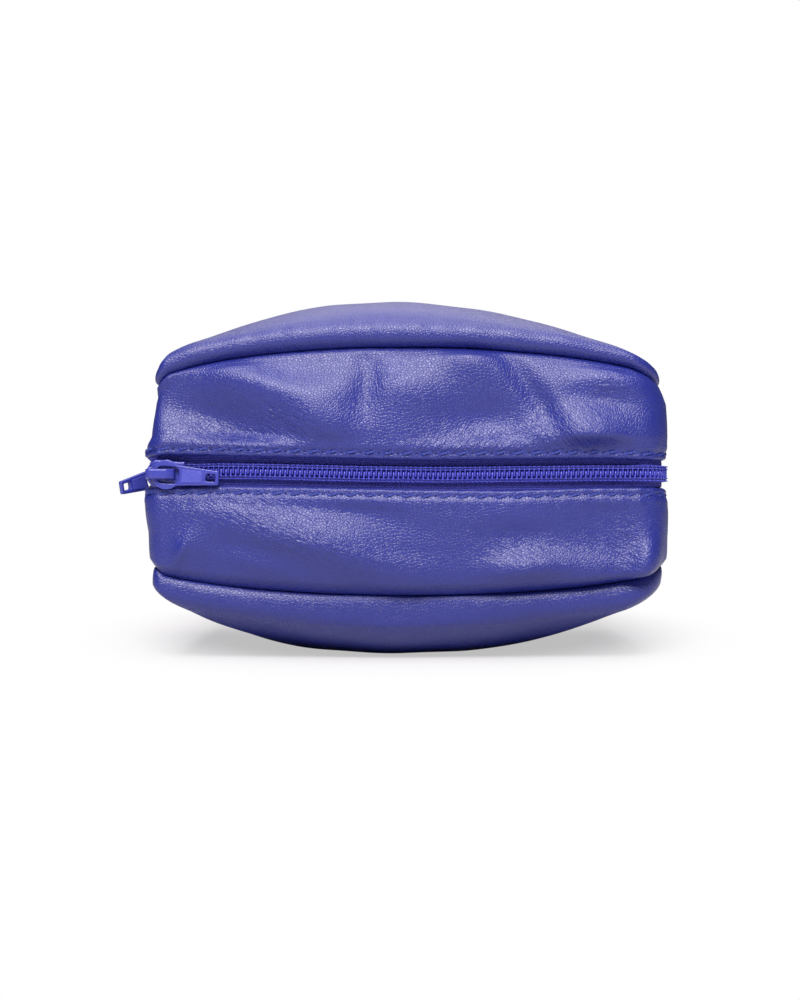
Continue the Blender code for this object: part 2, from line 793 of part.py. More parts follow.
def make_key_ring(finish):
    """Two turns of wire side by side, as a split ring has, hanging from the tab."""
    centre_y, centre_z = ring_pin()
    curve = bpy.data.curves.new("key_ring", "CURVE")
    curve.dimensions = "3D"
    curve.bevel_depth = RING_WIRE / 2
    curve.bevel_resolution = 1
    curve.use_fill_caps = True
    spline = curve.splines.new("POLY")
    points_a_turn = 16
    count = RING_TURNS * points_a_turn + 1
    spline.points.add(count - 1)
    pitch = RING_WIRE + LAYER_GAP
    for step in range(count):
        angle = 2 * math.pi * step / points_a_turn
        x = RING_RADIUS * math.sin(angle)
        z = -RING_RADIUS - RING_RADIUS * math.cos(angle)
        y = pitch * (step / points_a_turn - RING_TURNS / 2)
        spline.points[step].co = (x, y, z, 1)
    carrier = bpy.data.objects.new("key_ring", curve)
    parts.objects.link(carrier)
    bpy.context.view_layer.update()
    graph = bpy.context.evaluated_depsgraph_get()
    mesh = bpy.data.meshes.new_from_object(carrier.evaluated_get(graph), depsgraph=graph)
    bpy.data.objects.remove(carrier)
    bm = bmesh.new()
    bm.from_mesh(mesh)
    bmesh.ops.remove_doubles(bm, verts=bm.verts, dist=MERGE)
    bmesh.ops.recalc_face_normals(bm, faces=bm.faces)
    bm.to_mesh(mesh)
    bm.free()
    shade_round(mesh)
    made = add_object("key_ring", mesh, finish)
    made.location = (0, centre_y, centre_z)
    return made


clear_scene()
parts = new_collection("coin_and_key_pouch")
cutters = new_collection("pouch_cutters")

leather = material("soft_leather", LEATHER_BLUE, 0.45)
coil_nylon = material("coil_nylon", COIL_BLUE, 0.35)
tape_cloth = material("tape_cloth", TAPE_BLUE, 0.85)
slider_paint = material("slider_paint", PAINT_BLUE, 0.35)
lining_cloth = material("lining_cloth", LINING_BLUE, 0.9)
steel = material("steel", STEEL_GREY, 0.25, 1.0)

for side, half in ((UP, "upper"), (DOWN, "lower")):
    make_face_panel(f"{half}_face_panel", side, leather)
    make_zip_gusset(f"{half}_zip_gusset", side, leather)
    make_back_gusset(f"{half}_back_gusset", side, leather)
    make_lining(f"{half}_lining", side, lining_cloth)
    make_tape(f"{half}_zip_tape", side, tape_cloth)
    make_coil(f"{half}_coil", side, coil_nylon)
    make_stop(f"{half}_left_stop", side, True, slider_paint)
    make_stop(f"{half}_right_stop", side, False, slider_paint)

front_slider = make_slider_body("front_slider_body", slider_paint)
front_slider.matrix_world = Matrix.Translation(pin_at_front())
front_pull = make_pull("front_slider_pull", slider_paint)
front_pull.matrix_world = Matrix.Translation(pin_at_front()) @ Matrix.Rotation(FRONT_PULL_DROOP, 4, "Y")

end_slider = make_slider_body("end_slider_body", slider_paint)
end_slider.matrix_world = Matrix.Translation(pin_at_end()) @ end_frame()
end_pull = make_pull("end_slider_pull", slider_paint)
swing = Matrix.Rotation(-END_PULL_SWING, 4, "Z")
droop = Matrix.Rotation(-END_PULL_DROOP, 4, "Y")
end_pull.matrix_world = Matrix.Translation(pin_at_end()) @ end_frame() @ swing @ droop

make_key_tab(leather)
key_ring = make_key_ring(steel)
bpy.context.view_layer.update()
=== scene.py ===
"""Looks of a coin and key pouch in soft blue leather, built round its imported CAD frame."""

import math

import bmesh
import bpy
import numpy as np
from mathutils import Matrix, Vector, noise


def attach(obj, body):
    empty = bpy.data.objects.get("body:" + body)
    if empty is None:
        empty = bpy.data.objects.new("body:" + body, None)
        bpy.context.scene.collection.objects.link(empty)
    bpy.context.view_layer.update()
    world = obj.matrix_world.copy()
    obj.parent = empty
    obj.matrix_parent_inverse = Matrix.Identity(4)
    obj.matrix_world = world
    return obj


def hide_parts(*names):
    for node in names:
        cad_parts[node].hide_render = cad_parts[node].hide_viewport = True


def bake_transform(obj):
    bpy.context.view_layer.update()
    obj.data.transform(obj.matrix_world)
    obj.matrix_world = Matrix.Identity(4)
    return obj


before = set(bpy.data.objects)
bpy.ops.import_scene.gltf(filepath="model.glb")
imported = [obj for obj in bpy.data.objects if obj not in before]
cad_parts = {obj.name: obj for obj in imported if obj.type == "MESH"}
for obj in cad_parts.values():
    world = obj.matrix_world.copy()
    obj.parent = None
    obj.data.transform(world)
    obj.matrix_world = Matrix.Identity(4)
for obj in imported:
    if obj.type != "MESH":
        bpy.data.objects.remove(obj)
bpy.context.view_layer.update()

# Face panels.
# Two skins of soft calf leather, one under and one over, cut as rounded rectangles. Each is sewn
# inside out to the band and turned, so its edge rolls over the seam before it swells over the stuffing.
MM = 0.001
UP = 1
DOWN = -1
QUARTER_TURN = math.pi / 2
LEATHER = 1.0 * MM
SEAM_ALLOWANCE = 2.2 * MM
SEWN_GAP = 0.06 * MM
HALF_LENGTH = 63.3 * MM
HALF_DEPTH = 42.0 * MM
ZIP_HEIGHT = 45.2 * MM
LEFT_FRONT_CORNER = 4.4 * MM
RIGHT_FRONT_CORNER = 9.0 * MM
REAR_CORNER = 10.0 * MM
LEAST_CORNER = 1.2 * MM

# Heights from the zip. The seam rises in an arch from the ends to the middle of the front. There it
# leans in from the band's line by the lean, and the panel's roll stands out by the overhang.
CROWN = {UP: 45.8 * MM, DOWN: 46.8 * MM}
SEAM_MIDDLE = {UP: 30.8 * MM, DOWN: 29.4 * MM}
SEAM_END = {UP: 21.4 * MM, DOWN: 22.2 * MM}
ARCH_POWER = 0.6
MIDDLE_LEAN = 4.0 * MM
END_LEAN = 1.6 * MM
ROLL_OVERHANG = 2.0 * MM
END_ROLL_OVERHANG = 0.7 * MM
ROLL_HEIGHT = 6.0 * MM
END_ROLL_HEIGHT = {UP: 3.5 * MM, DOWN: 5.8 * MM}

# The dome falls by a power of the way out. Near its edge it also falls to the arch of the seam and
# turns square, and along the front and back it swells at the shoulder.
DOME_POWER = {UP: 2.3, DOWN: 2.8}
EDGE_FALL_POWER = 9
SQUARING_POWER = 3.5
SHOULDER_SWELL = 0.75 * MM
SHOULDER_SHARE = 0.17

# How far the stuffing has pushed each end along X, in mm, at levels over the zip in mm.
SWAY_LEVELS = (-46.0, -32.0, -22.0, -14.0, -4.0, 4.0, 9.0, 17.0, 25.0, 34.0, 45.0)
SWAY_LEFT = (-2.0, 0.2, 0.4, 0.6, 0.0, 0.0, 1.5, 1.0, 1.8, -1.0, -4.5)
SWAY_RIGHT = (-1.0, -0.6, 0.9, 0.9, 0.0, 0.0, 0.4, 0.8, -0.9, -3.0, -5.0)


def band_run(inset, least_corner=LEAST_CORNER):
    """The band's outline from above at an inset: (start, quarter heading, length, radius) a piece."""
    across = HALF_LENGTH - inset
    deep = HALF_DEPTH - inset
    rear = max(REAR_CORNER - inset, least_corner)
    left = max(LEFT_FRONT_CORNER - inset, least_corner)
    right = max(RIGHT_FRONT_CORNER - inset, least_corner)
    return [
        (Vector((-across + rear, deep)), 2, QUARTER_TURN * rear, rear),
        (Vector((-across, deep - rear)), 3, 2 * deep - rear - left, 0),
        (Vector((-across, -deep + left)), 3, QUARTER_TURN * left, left),
        (Vector((-across + left, -deep)), 0, 2 * across - left - right, 0),
        (Vector((across - right, -deep)), 0, QUARTER_TURN * right, right),
        (Vector((across, -deep + right)), 1, 2 * deep - right - rear, 0),
        (Vector((across, deep - rear)), 1, QUARTER_TURN * rear, rear),
        (Vector((across - rear, deep)), 2, 2 * across - 2 * rear, 0),
    ]


def on_piece(piece, share):
    """Point and outward direction at a share of one straight or arc."""
    start, quarter, length, radius = piece
    heading = quarter * QUARTER_TURN
    if radius:
        turned = heading + share * QUARTER_TURN
        centre = start + radius * Vector((-math.sin(heading), math.cos(heading)))
        outward = Vector((math.sin(turned), -math.cos(turned)))
        return centre + radius * outward, outward
    point = start + share * length * Vector((math.cos(heading), math.sin(heading)))
    return point, Vector((math.sin(heading), -math.cos(heading)))


def spaced_stations(pieces, spacing):
    """(piece, share) for columns about a spacing apart along pieces of the outline."""
    run = band_run(0)
    listed = []
    for piece in pieces:
        count = max(2, round(run[piece][2] / spacing))
        listed += [(piece, step / count) for step in range(count)]
    return [*listed, (pieces[-1], 1.0)]


def along_front(station):
    """Distance round the outline from the middle of the front, less than zero towards the left."""
    run = band_run(0)
    before = sum(piece[2] for piece in run[: station[0]]) + station[1] * run[station[0]][2]
    to_middle = sum(piece[2] for piece in run[:3]) + HALF_LENGTH - LEFT_FRONT_CORNER
    return before - to_middle


def smooth(share):
    """A share kept from 0 to 1 and eased at both."""
    share = min(1.0, max(0.0, share))
    return share * share * (3 - 2 * share)


def arch(x):
    """0 at the ends and 1 at the middle, as the seam rises."""
    return max(0.0, 1 - (x / HALF_LENGTH) ** 2) ** ARCH_POWER


def seam_height(x, side):
    return SEAM_END[side] + (SEAM_MIDDLE[side] - SEAM_END[side]) * arch(x)


def lean_at(x):
    return END_LEAN + (MIDDLE_LEAN - END_LEAN) * arch(x)


def overhang_at(x):
    return END_ROLL_OVERHANG + (ROLL_OVERHANG - END_ROLL_OVERHANG) * arch(x)


def roll_height(x, side):
    return END_ROLL_HEIGHT[side] + (ROLL_HEIGHT - END_ROLL_HEIGHT[side]) * arch(x)


def at_station(inset, station, height, side, least_corner=LEAST_CORNER):
    """Point at a station, an inset inside the band's line and a height from the zip."""
    point, _ = on_piece(band_run(inset, least_corner)[station[0]], station[1])
    return Vector((point.x, point.y, ZIP_HEIGHT + side * height))


def swayed(places):
    """Places moved along X as the stuffing has pushed them, more at the ends and the crowns."""
    level = (places[:, :, 2] - ZIP_HEIGHT) / MM
    at_left = np.interp(level, SWAY_LEVELS, SWAY_LEFT)
    at_right = np.interp(level, SWAY_LEVELS, SWAY_RIGHT)
    share = np.clip(0.5 + places[:, :, 0] / (2 * HALF_LENGTH), 0, 1)
    moved = places.copy()
    moved[:, :, 0] += (at_left * (1 - share) + at_right * share) * MM
    return moved


def dome_point(station, share, side, inset, drop, least_corner):
    """Point of the dome at a share of the way out: ellipses about its middle turn square at its edge."""
    x = at_station(0, station, 0, UP).x
    rim = at_station(inset, station, 0, side, least_corner)
    radius = math.hypot(rim.x / HALF_LENGTH, rim.y / HALF_DEPTH)
    towards_end = (rim.x / HALF_LENGTH / radius) ** 2
    front_fall = CROWN[side] - SEAM_MIDDLE[side] - ROLL_HEIGHT
    end_fall = CROWN[side] - SEAM_END[side] - END_ROLL_HEIGHT[side]
    even_fall = front_fall + (end_fall - front_fall) * towards_end
    edge_fall = CROWN[side] - seam_height(x, side) - roll_height(x, side) - even_fall
    inward = (1 - share) / SHOULDER_SHARE
    swell = SHOULDER_SWELL * (1 - towards_end) * inward * math.exp(1 - inward)
    fall = even_fall * share ** DOME_POWER[side] + edge_fall * share**EDGE_FALL_POWER + drop - swell
    in_share = share * (1 + share**SQUARING_POWER * (radius - 1)) / radius
    point = Vector((rim.x * in_share, rim.y * in_share, ZIP_HEIGHT + side * (CROWN[side] - fall)))
    point.z = max(point.z, drop) if side == DOWN else point.z
    return point


def drawn_through(marks, spacing):
    """Rows along smooth lines through marks, an array (columns, marks, 3), about a spacing apart."""
    steps = np.linalg.norm(np.diff(marks, axis=1), axis=2).mean(axis=0)
    last = len(steps)
    slopes = np.diff(marks, axis=1) / steps[None, :, None]
    tangents = np.empty_like(marks)
    tangents[:, 0] = slopes[:, 0]
    tangents[:, last] = slopes[:, last - 1]
    for k in range(1, last):
        share = steps[k - 1] / (steps[k - 1] + steps[k])
        tangents[:, k] = slopes[:, k - 1] * (1 - share) + slopes[:, k] * share
    rows = []
    for k in range(last):
        count = max(1, round(steps[k] / spacing))
        for t in (step / count for step in range(count)):
            start = (1 + 2 * t) * (1 - t) ** 2 * marks[:, k] + t * (1 - t) ** 2 * steps[k] * tangents[:, k]
            end = t**2 * (3 - 2 * t) * marks[:, k + 1] + t**2 * (t - 1) * steps[k] * tangents[:, k + 1]
            rows.append(start + end)
    rows.append(marks[:, last])
    return np.stack(rows, axis=1)


def surface_normals(places, side, closed):
    """Outward direction at each point of a grid of places."""
    along = np.gradient(places, axis=0)
    if closed:
        along[0] = places[1] - places[-1]
        along[-1] = places[0] - places[-2]
    normals = side * np.cross(along, np.gradient(places, axis=1))
    sizes = np.linalg.norm(normals, axis=2, keepdims=True)
    return normals / np.maximum(sizes, 1e-12)


def relief(along, level, marks):
    """Depth of soft ridges and hollows: (along, level, half length, half width, tilt, rise) each."""
    total = np.zeros_like(along)
    for mark_along, mark_level, half_length, half_width, tilt, rise in marks:
        right = along - mark_along * MM
        up = level - mark_level * MM
        turn = math.radians(tilt)
        lengthwise = (right * math.cos(turn) + up * math.sin(turn)) / (half_length * MM)
        crosswise = (up * math.cos(turn) - right * math.sin(turn)) / (half_width * MM)
        total += rise * MM * np.exp(-(lengthwise**2) - crosswise**2)
    return total


def uneven(places, size, rise, seed):
    """The gentle unevenness of hide, as a depth at each place."""
    offset = Vector((seed, 2 * seed, 3 * seed))
    flat = places.reshape(-1, 3)
    depths = [noise.noise(Vector(point) / size + offset) for point in flat]
    return rise * np.array(depths).reshape(places.shape[:2])


def walked(places):
    """Distance along each column of a grid from its first row."""
    return np.cumsum(np.linalg.norm(np.diff(places, axis=1, prepend=places[:, :1]), axis=2), axis=1)


def ring_pattern(places):
    """A closed grid's distances from its edge and its middle, its bearings, and its flat pattern in mm."""
    from_edge = walked(places)
    radius = from_edge[:, -1:] - from_edge
    turn = np.arctan2(places[:, 0, 1], places[:, 0, 0])[:, None]
    return from_edge, radius, turn, np.stack([radius * np.cos(turn), radius * np.sin(turn)], axis=2) / MM


def add_object(title, data):
    """A new object in the scene, at the origin."""
    made = bpy.data.objects.new(title, data)
    bpy.context.scene.collection.objects.link(made)
    return made


def evaluated_mesh(made):
    """A mesh of what an object's modifiers, or its curve's settings, make of it."""
    bpy.context.view_layer.update()
    graph = bpy.context.evaluated_depsgraph_get()
    return bpy.data.meshes.new_from_object(made.evaluated_get(graph), depsgraph=graph)


def settle(made):
    """Apply an object's modifiers to its mesh."""
    mesh = evaluated_mesh(made)
    made.modifiers.clear()
    made.data = mesh
    return made


def lay_skin(title, places, flat_places, thickness, side, closed=False, creases=None):
    """A skin from a grid of places, with its flat pattern in millimetres as UVs and its own thickness."""
    columns, rows = places.shape[:2]
    kept = rows - 1 if closed else rows
    index = [[column * kept + row for row in range(kept)] for column in range(columns)]
    points = places[:, :kept].reshape(-1, 3)
    flat = flat_places[:, :kept].reshape(-1, 2)
    if closed:
        points = np.vstack([points, places[:, -1].mean(axis=0)])
        flat = np.vstack([flat, flat_places[:, -1].mean(axis=0)])
        index = [[*column, columns * kept] for column in index]
    faces = []
    for column in range(columns if closed else columns - 1):
        here, there = index[column], index[(column + 1) % columns]
        for row in range(rows - 1):
            face = [here[row], there[row], there[row + 1], here[row + 1]]
            if face[2] == face[3]:
                face.pop()
            faces.append(face if side == UP else face[::-1])
    mesh = bpy.data.meshes.new(title)
    mesh.from_pydata([tuple(point) for point in points], [], faces)
    pattern = mesh.uv_layers.new(name="flat_mm")
    corners = np.empty(len(mesh.loops), dtype=np.int32)
    mesh.loops.foreach_get("vertex_index", corners)
    pattern.data.foreach_set("uv", flat[corners].ravel())
    if creases is not None:
        marks = mesh.attributes.new("creases", "FLOAT_VECTOR", "POINT")
        marks.data.foreach_set("vector", creases.reshape(-1, 3).astype(np.float32).ravel())
    mesh.shade_smooth()
    made = add_object(title, mesh)
    wall = made.modifiers.new("thickness", "SOLIDIFY")
    wall.thickness = thickness
    wall.offset = -1
    return settle(made)


def linear(code):
    """Opaque linear colour from an sRGB hex code."""
    shares = [int(code[place : place + 2], 16) / 255 for place in (1, 3, 5)]
    return (*[c / 12.92 if c <= 0.04045 else ((c + 0.055) / 1.055) ** 2.4 for c in shares], 1.0)


def feed(tree, node, feeds):
    """Give each named input of a node its value, or a link where the value is a socket."""
    for socket, value in feeds.items():
        if isinstance(value, bpy.types.NodeSocket):
            tree.links.new(value, node.inputs[socket])
        else:
            node.inputs[socket].default_value = value


def add_node(tree, kind, feeds=None, **settings):
    """A node with its settings and its feeds."""
    node = tree.nodes.new(kind)
    for name, value in settings.items():
        setattr(node, name, value)
    feed(tree, node, feeds or {})
    return node


def new_finish(title):
    """An empty material, its tree and its shader."""
    made = bpy.data.materials.new(title)
    made.use_nodes = True
    return made, made.node_tree, made.node_tree.nodes["Principled BSDF"]


# Full-grain calf leather, drum dyed through and given a thin semi-matt finish. The eye sees a deep
# blue with broad pale lustre, a pebble of about 0.7 mm drawn a little coarse, and fine creases that
# run one of three ways wherever the skin has been bent. Sizes in the pattern are in millimetres.
LEATHER_BLUE = "#19268A"
LEATHER_DEEP = "#131F76"
PEBBLE = 0.75
FINE_PORE = 0.34
CREASE_WIDTH = 1.15
CREASE_LENGTH = 3.6
CREASE_TURNS = {"X": -32, "Y": 86, "Z": 52}
CLOUD = 22.0
PEBBLE_RISE = 0.046 * MM
CREASE_RISE = 0.17 * MM


def calf_leather():
    made, tree, shader = new_finish("semi_matt_calf_leather")
    flat = add_node(tree, "ShaderNodeUVMap", uv_map="flat_mm").outputs["UV"]
    wander = add_node(tree, "ShaderNodeTexNoise", {"Vector": flat, "Scale": 1 / (4 * PEBBLE)})
    moved = add_node(
        tree,
        "ShaderNodeVectorMath",
        {0: wander.outputs["Color"], 1: (PEBBLE, PEBBLE, 0), 2: flat},
        operation="MULTIPLY_ADD",
    ).outputs[0]
    pebble = add_node(
        tree,
        "ShaderNodeTexVoronoi",
        {"Vector": moved, "Scale": 1 / PEBBLE},
        feature="DISTANCE_TO_EDGE",
        voronoi_dimensions="2D",
    )
    plump = add_node(
        tree,
        "ShaderNodeMapRange",
        {"Value": pebble.outputs["Distance"], "From Max": 0.28},
        interpolation_type="SMOOTHSTEP",
    )
    pores = add_node(
        tree,
        "ShaderNodeTexNoise",
        {"Vector": flat, "Scale": 1 / FINE_PORE, "Detail": 3.0, "Roughness": 0.6},
        noise_dimensions="2D",
    )
    grain = add_node(
        tree,
        "ShaderNodeMath",
        {0: pores.outputs["Fac"], 1: 0.3, 2: plump.outputs["Result"]},
        operation="MULTIPLY_ADD",
    ).outputs[0]
    marks = add_node(tree, "ShaderNodeAttribute", attribute_name="creases")
    strength = add_node(tree, "ShaderNodeSeparateXYZ", {0: marks.outputs["Vector"]}).outputs
    folded = 0.0
    for way, turn in CREASE_TURNS.items():
        lay = {"Rotation": (0, 0, math.radians(turn)), "Scale": (CREASE_LENGTH, CREASE_WIDTH, 1)}
        laid = add_node(tree, "ShaderNodeMapping", {"Vector": moved, **lay}, vector_type="TEXTURE")
        lines = add_node(
            tree,
            "ShaderNodeTexNoise",
            {"Vector": laid.outputs[0], "Scale": 1.0, "Detail": 2.5, "Roughness": 0.55},
            noise_dimensions="2D",
        )
        sharp = add_node(
            tree,
            "ShaderNodeMapRange",
            {"Value": lines.outputs["Fac"], "From Min": 0.38, "From Max": 0.62},
            interpolation_type="SMOOTHSTEP",
        )
        folded = add_node(
            tree,
            "ShaderNodeMath",
            {0: sharp.outputs["Result"], 1: strength[way], 2: folded},
            operation="MULTIPLY_ADD",
        ).outputs[0]
    bump = add_node(tree, "ShaderNodeBump", {"Distance": PEBBLE_RISE, "Height": grain}).outputs["Normal"]
    bump = add_node(
        tree, "ShaderNodeBump", {"Distance": CREASE_RISE, "Height": folded, "Normal": bump}
    ).outputs["Normal"]
    cloud = add_node(
        tree, "ShaderNodeTexNoise", {"Vector": flat, "Scale": 1 / CLOUD, "Detail": 2.0}, noise_dimensions="2D"
    )
    dye = add_node(
        tree,
        "ShaderNodeMix",
        {"Factor": cloud.outputs["Fac"], "A": linear(LEATHER_DEEP), "B": linear(LEATHER_BLUE)},
        data_type="RGBA",
    )
    # Painted shade: the colour falls to the deep blue in the hollows between pebbles and is lightest on their
    # tops.
    pebble_shade = add_node(
        tree,
        "ShaderNodeMix",
        {"Factor": plump.outputs["Result"], "A": linear(LEATHER_DEEP), "B": dye.outputs["Result"]},
        data_type="RGBA",
    )
    lustre = add_node(
        tree, "ShaderNodeMapRange", {"Value": grain, "From Max": 1.2, "To Min": 0.52, "To Max": 0.42}
    )
    feeds = {"Base Color": pebble_shade.outputs["Result"], "Roughness": lustre.outputs["Result"], "Normal": bump}
    feeds |= {"Coat Normal": bump, "Coat Weight": 0.9, "Coat Roughness": 0.45}
    feeds |= {"IOR": 1.5, "Specular IOR Level": 0.3}
    feed(tree, shader, feeds)
    return made


leather = calf_leather()

# The roll's outline up from the seam as (out, up) shares of its overhang and its height. After it
# come the rows of the dome, as shares of the way out from its middle.
ROLL_SHARES = ((0.0, 0.0), (0.34, 0.06), (0.72, 0.18), (0.94, 0.33), (1.0, 0.5), (0.9, 0.7))
DOME_SHARES = (0.975, 0.94, 0.89, 0.81, 0.7, 0.56, 0.42, 0.28, 0.14, 0.0)

# How much of the roll's overhang there is at each x in millimetres.
ROLL_SHOWN = {
    UP: ((-63, 1.0), (63, 1.0)),
    DOWN: ((-63, 0.4), (-42, 0.5), (-22, 0.35), (-4, 0.05), (14, 0.2), (35, 0.5), (63, 0.4)),
}
PANEL_SPACING = 0.9 * MM
EASED_FROM = 9.0 * MM
EASED_OVER = 10.0 * MM
EASING_PASSES = 60
GATHERS = 46
GATHERS_CROWD = 3
GATHER_RISE = 0.10 * MM
GATHER_FROM_EDGE = 7.0 * MM
GATHER_REACH = 5.0 * MM
PANEL_WAVE = 17.0 * MM
PANEL_WAVE_RISE = 0.5 * MM
CALM_MIDDLE = 12.0 * MM
CALM_EDGE = 4.0 * MM


def eased(places, shares):
    """A closed grid whose rows are evened out round the ring, each place by its share."""
    for _ in range(EASING_PASSES):
        beside = (np.roll(places, 1, axis=0) + np.roll(places, -1, axis=0)) / 2
        places = places + (beside - places) * shares[:, :, None] / 2
    return places


def make_face_panel(title, side, body, node):
    """A panel from its seam allowance, over its roll and up its dome."""
    marks = []
    for station in spaced_stations(range(8), PANEL_SPACING)[:-1]:
        x = at_station(0, station, 0, UP).x
        base = seam_height(x, side) + SEWN_GAP
        overhang = overhang_at(x) * float(np.interp(x / MM, *zip(*ROLL_SHOWN[side], strict=True)))
        column = [at_station(lean_at(x) + SEAM_ALLOWANCE, station, base, side)]
        for out_share, up_share in ROLL_SHARES:
            inset = lean_at(x) + LEATHER / 3 - out_share * (overhang + LEATHER / 3)
            column.append(at_station(inset, station, base + up_share * roll_height(x, side), side))
        inset = lean_at(x) - overhang_at(x) / 4
        column += [dome_point(station, share, side, inset, 0, LEAST_CORNER) for share in DOME_SHARES]
        marks.append(column)
    places = drawn_through(np.array(marks), PANEL_SPACING)
    from_edge, radius, turn, flat = ring_pattern(places)
    places = eased(places, np.clip((from_edge - EASED_FROM) / EASED_OVER, 0, 1))
    near_seam = np.exp(-(((from_edge - GATHER_FROM_EDGE) / GATHER_REACH) ** 2))
    gathers = np.sin(GATHERS * turn + GATHERS_CROWD * np.sin(3 * turn))
    lift = uneven(places, PANEL_WAVE, PANEL_WAVE_RISE, seed=side) * np.clip(radius / CALM_MIDDLE, 0, 1)
    lift += GATHER_RISE * gathers * near_seam
    lift *= np.clip(from_edge / CALM_EDGE, 0, 1)
    places = swayed(places + surface_normals(places, side, True) * lift[:, :, None])
    places[:, :, 2] = np.maximum(places[:, :, 2], 0.0)
    made = lay_skin(title, places, flat, LEATHER, side, closed=True)
    made.data.materials.append(leather)
    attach(made, body)
    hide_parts(node)


make_face_panel("lower_face_skin", DOWN, "base", "lower_face_panel")
make_face_panel("upper_face_skin", UP, "lid", "upper_face_panel")

# Zip gussets.
# Two strips of the same calf leather round the front and the ends. Each is folded back on itself
# along the zip and topstitched, and its far edge is sewn to a face panel. Use has dented them.
HALF_WINDOW = 3.8 * MM
HEM = 6.0 * MM
HEM_INSET = 2.3 * MM
MIDDLE_BULGE = 1.2 * MM
END_BULGE = 0.1 * MM
STITCH_FROM_FOLD = 1.5 * MM
STITCH_PITCH = 4.4 * MM
GUSSET_SPACING = 0.55 * MM
FOLD_STEPS = 8
HEM_STEPS = 4
GUSSET_WAVE = 13.0 * MM
GUSSET_WAVE_RISE = 0.45 * MM

# Where the fold's edge lies from its straight line: distance along the front and rise, in mm.
FOLD_BOW = {
    UP: ((-75, 0.0), (-64, 0.2), (-57, 0.8), (-45, 0.6), (3, -0.45), (47, 0.0), (61, -0.5), (75, 0.0)),
    DOWN: (
        *((-75, 0.0), (-66, 0.7), (-58, 0.6), (-47, 0.9), (-26, 0.6), (3, 0.0)),
        *((25, -0.2), (43, 0.5), (61, 0.5), (75, 0.0)),
    ),
}

# What the stitches do to the leather: distance from the fold, half width and rise in mm, then how
# much of that there is between two needle holes and how much more at a hole.
SEWN_RIDGES = (
    (STITCH_FROM_FOLD / MM, 0.55, -0.38, 0.5, 0.5),
    (0.5, 0.6, 0.34, 1.0, -0.6),
    (STITCH_FROM_FOLD / MM + 1.6, 1.0, 0.22, 1.0, -1.0),
)

# Ridges and hollows of the upper half: along, level over the zip, half length, half width, tilt, rise.
UPPER_DENTS = (
    (-46.0, 12.6, 17.0, 6.2, -20.0, -3.8),
    (-36.0, 21.0, 14.0, 4.2, -16.0, 2.4),
    (-10.5, 21.0, 8.0, 3.2, 80.0, -1.2),
    (-19.0, 20.0, 7.0, 4.0, 0.0, 0.9),
    (-21.0, 12.5, 9.0, 4.6, -12.0, 1.8),
    (-1.0, 20.5, 8.0, 4.5, 0.0, 0.8),
    (18.0, 13.5, 12.0, 5.8, 0.0, -2.9),
    (30.5, 18.0, 12.0, 2.9, -60.0, -1.6),
    (43.0, 8.4, 9.5, 6.8, -6.0, 3.7),
    (47.0, 18.5, 9.0, 3.4, -4.0, -1.2),
    (49.0, 21.5, 9.5, 4.2, -6.0, 2.2),
    (16.0, 27.5, 7.5, 5.0, 0.0, 2.2),
)

# The same for the lower half, its levels below the zip.
LOWER_DENTS = (
    (-23.0, -17.0, 25.0, 4.8, -15.0, 2.7),
    (-10.0, -9.5, 20.0, 3.8, -14.0, -1.0),
    (-54.5, -19.0, 4.5, 1.3, 62.0, 0.8),
    (-52.0, -17.0, 5.0, 4.0, 0.0, 1.3),
    (-36.0, -21.5, 9.0, 2.4, -14.0, 0.7),
    (27.0, -22.5, 9.0, 3.6, 4.0, 2.5),
    (26.0, -14.5, 11.0, 3.6, 0.0, -1.1),
    (56.0, -21.0, 6.5, 3.8, 70.0, 2.9),
    (46.0, -23.5, 12.0, 4.0, -6.0, 1.6),
    (47.0, -12.0, 7.0, 6.0, 0.0, -0.8),
)

# Creased places: along, level, half length, half width, tilt, strength, and which way they run.
UPPER_CREASES = (
    (-44.0, 8.0, 13.0, 4.5, -14.0, 1.0, 0),
    (-30.0, 13.0, 9.0, 4.0, -24.0, 0.7, 0),
    (-11.0, 18.0, 8.0, 5.0, 84.0, 0.35, 1),
    (-4.0, 22.0, 9.0, 6.0, 0.0, 0.3, 2),
    (16.0, 7.0, 16.0, 4.0, 4.0, 0.9, 2),
    (31.0, 16.0, 11.0, 4.0, -62.0, 0.4, 1),
    (34.0, 8.0, 9.0, 4.0, -30.0, 0.6, 0),
    (46.0, 13.0, 9.0, 5.0, 0.0, 0.5, 0),
    (50.0, 22.0, 8.0, 4.0, 0.0, 0.6, 0),
)
LOWER_CREASES = (
    (-25.0, -16.0, 22.0, 4.0, -16.0, 0.8, 0),
    (-34.0, -8.0, 10.0, 4.0, -10.0, 0.5, 0),
    (27.0, -18.0, 14.0, 5.0, -10.0, 0.7, 0),
    (50.0, -17.0, 7.0, 7.0, 0.0, 0.8, 0),
)

# The dents grow from just past the stitches and fade out at the seam. The creases start at the fold.
DENTS_PAST_ROW = 0.6 * MM
DENTS_GROW = 3.8 * MM
DENTS_END = 0.99
DENTS_FADE = 2.5 * MM
CREASES_GROW = 2.0 * MM

# Round the turned seam, from the wall up: (mm further in than the lean, share of the seam's height).
# The lower half's edge stands out over its seam by a lip that fades over those marks.
TURN_MARKS = {
    UP: ((0.0, 0.965), (0.35, 0.992), (1.1, 1.0), (2.2, 1.0)),
    DOWN: ((-0.5, 0.90), (-0.1, 0.955), (0.7, 0.988), (1.5, 1.0), (2.2, 1.0)),
}
LIP = {UP: 0.0, DOWN: 0.8 * MM}
LIP_SHARES = (0.9, 0.5, 0.1, 0.0)
FULLER_FROM = 0.6


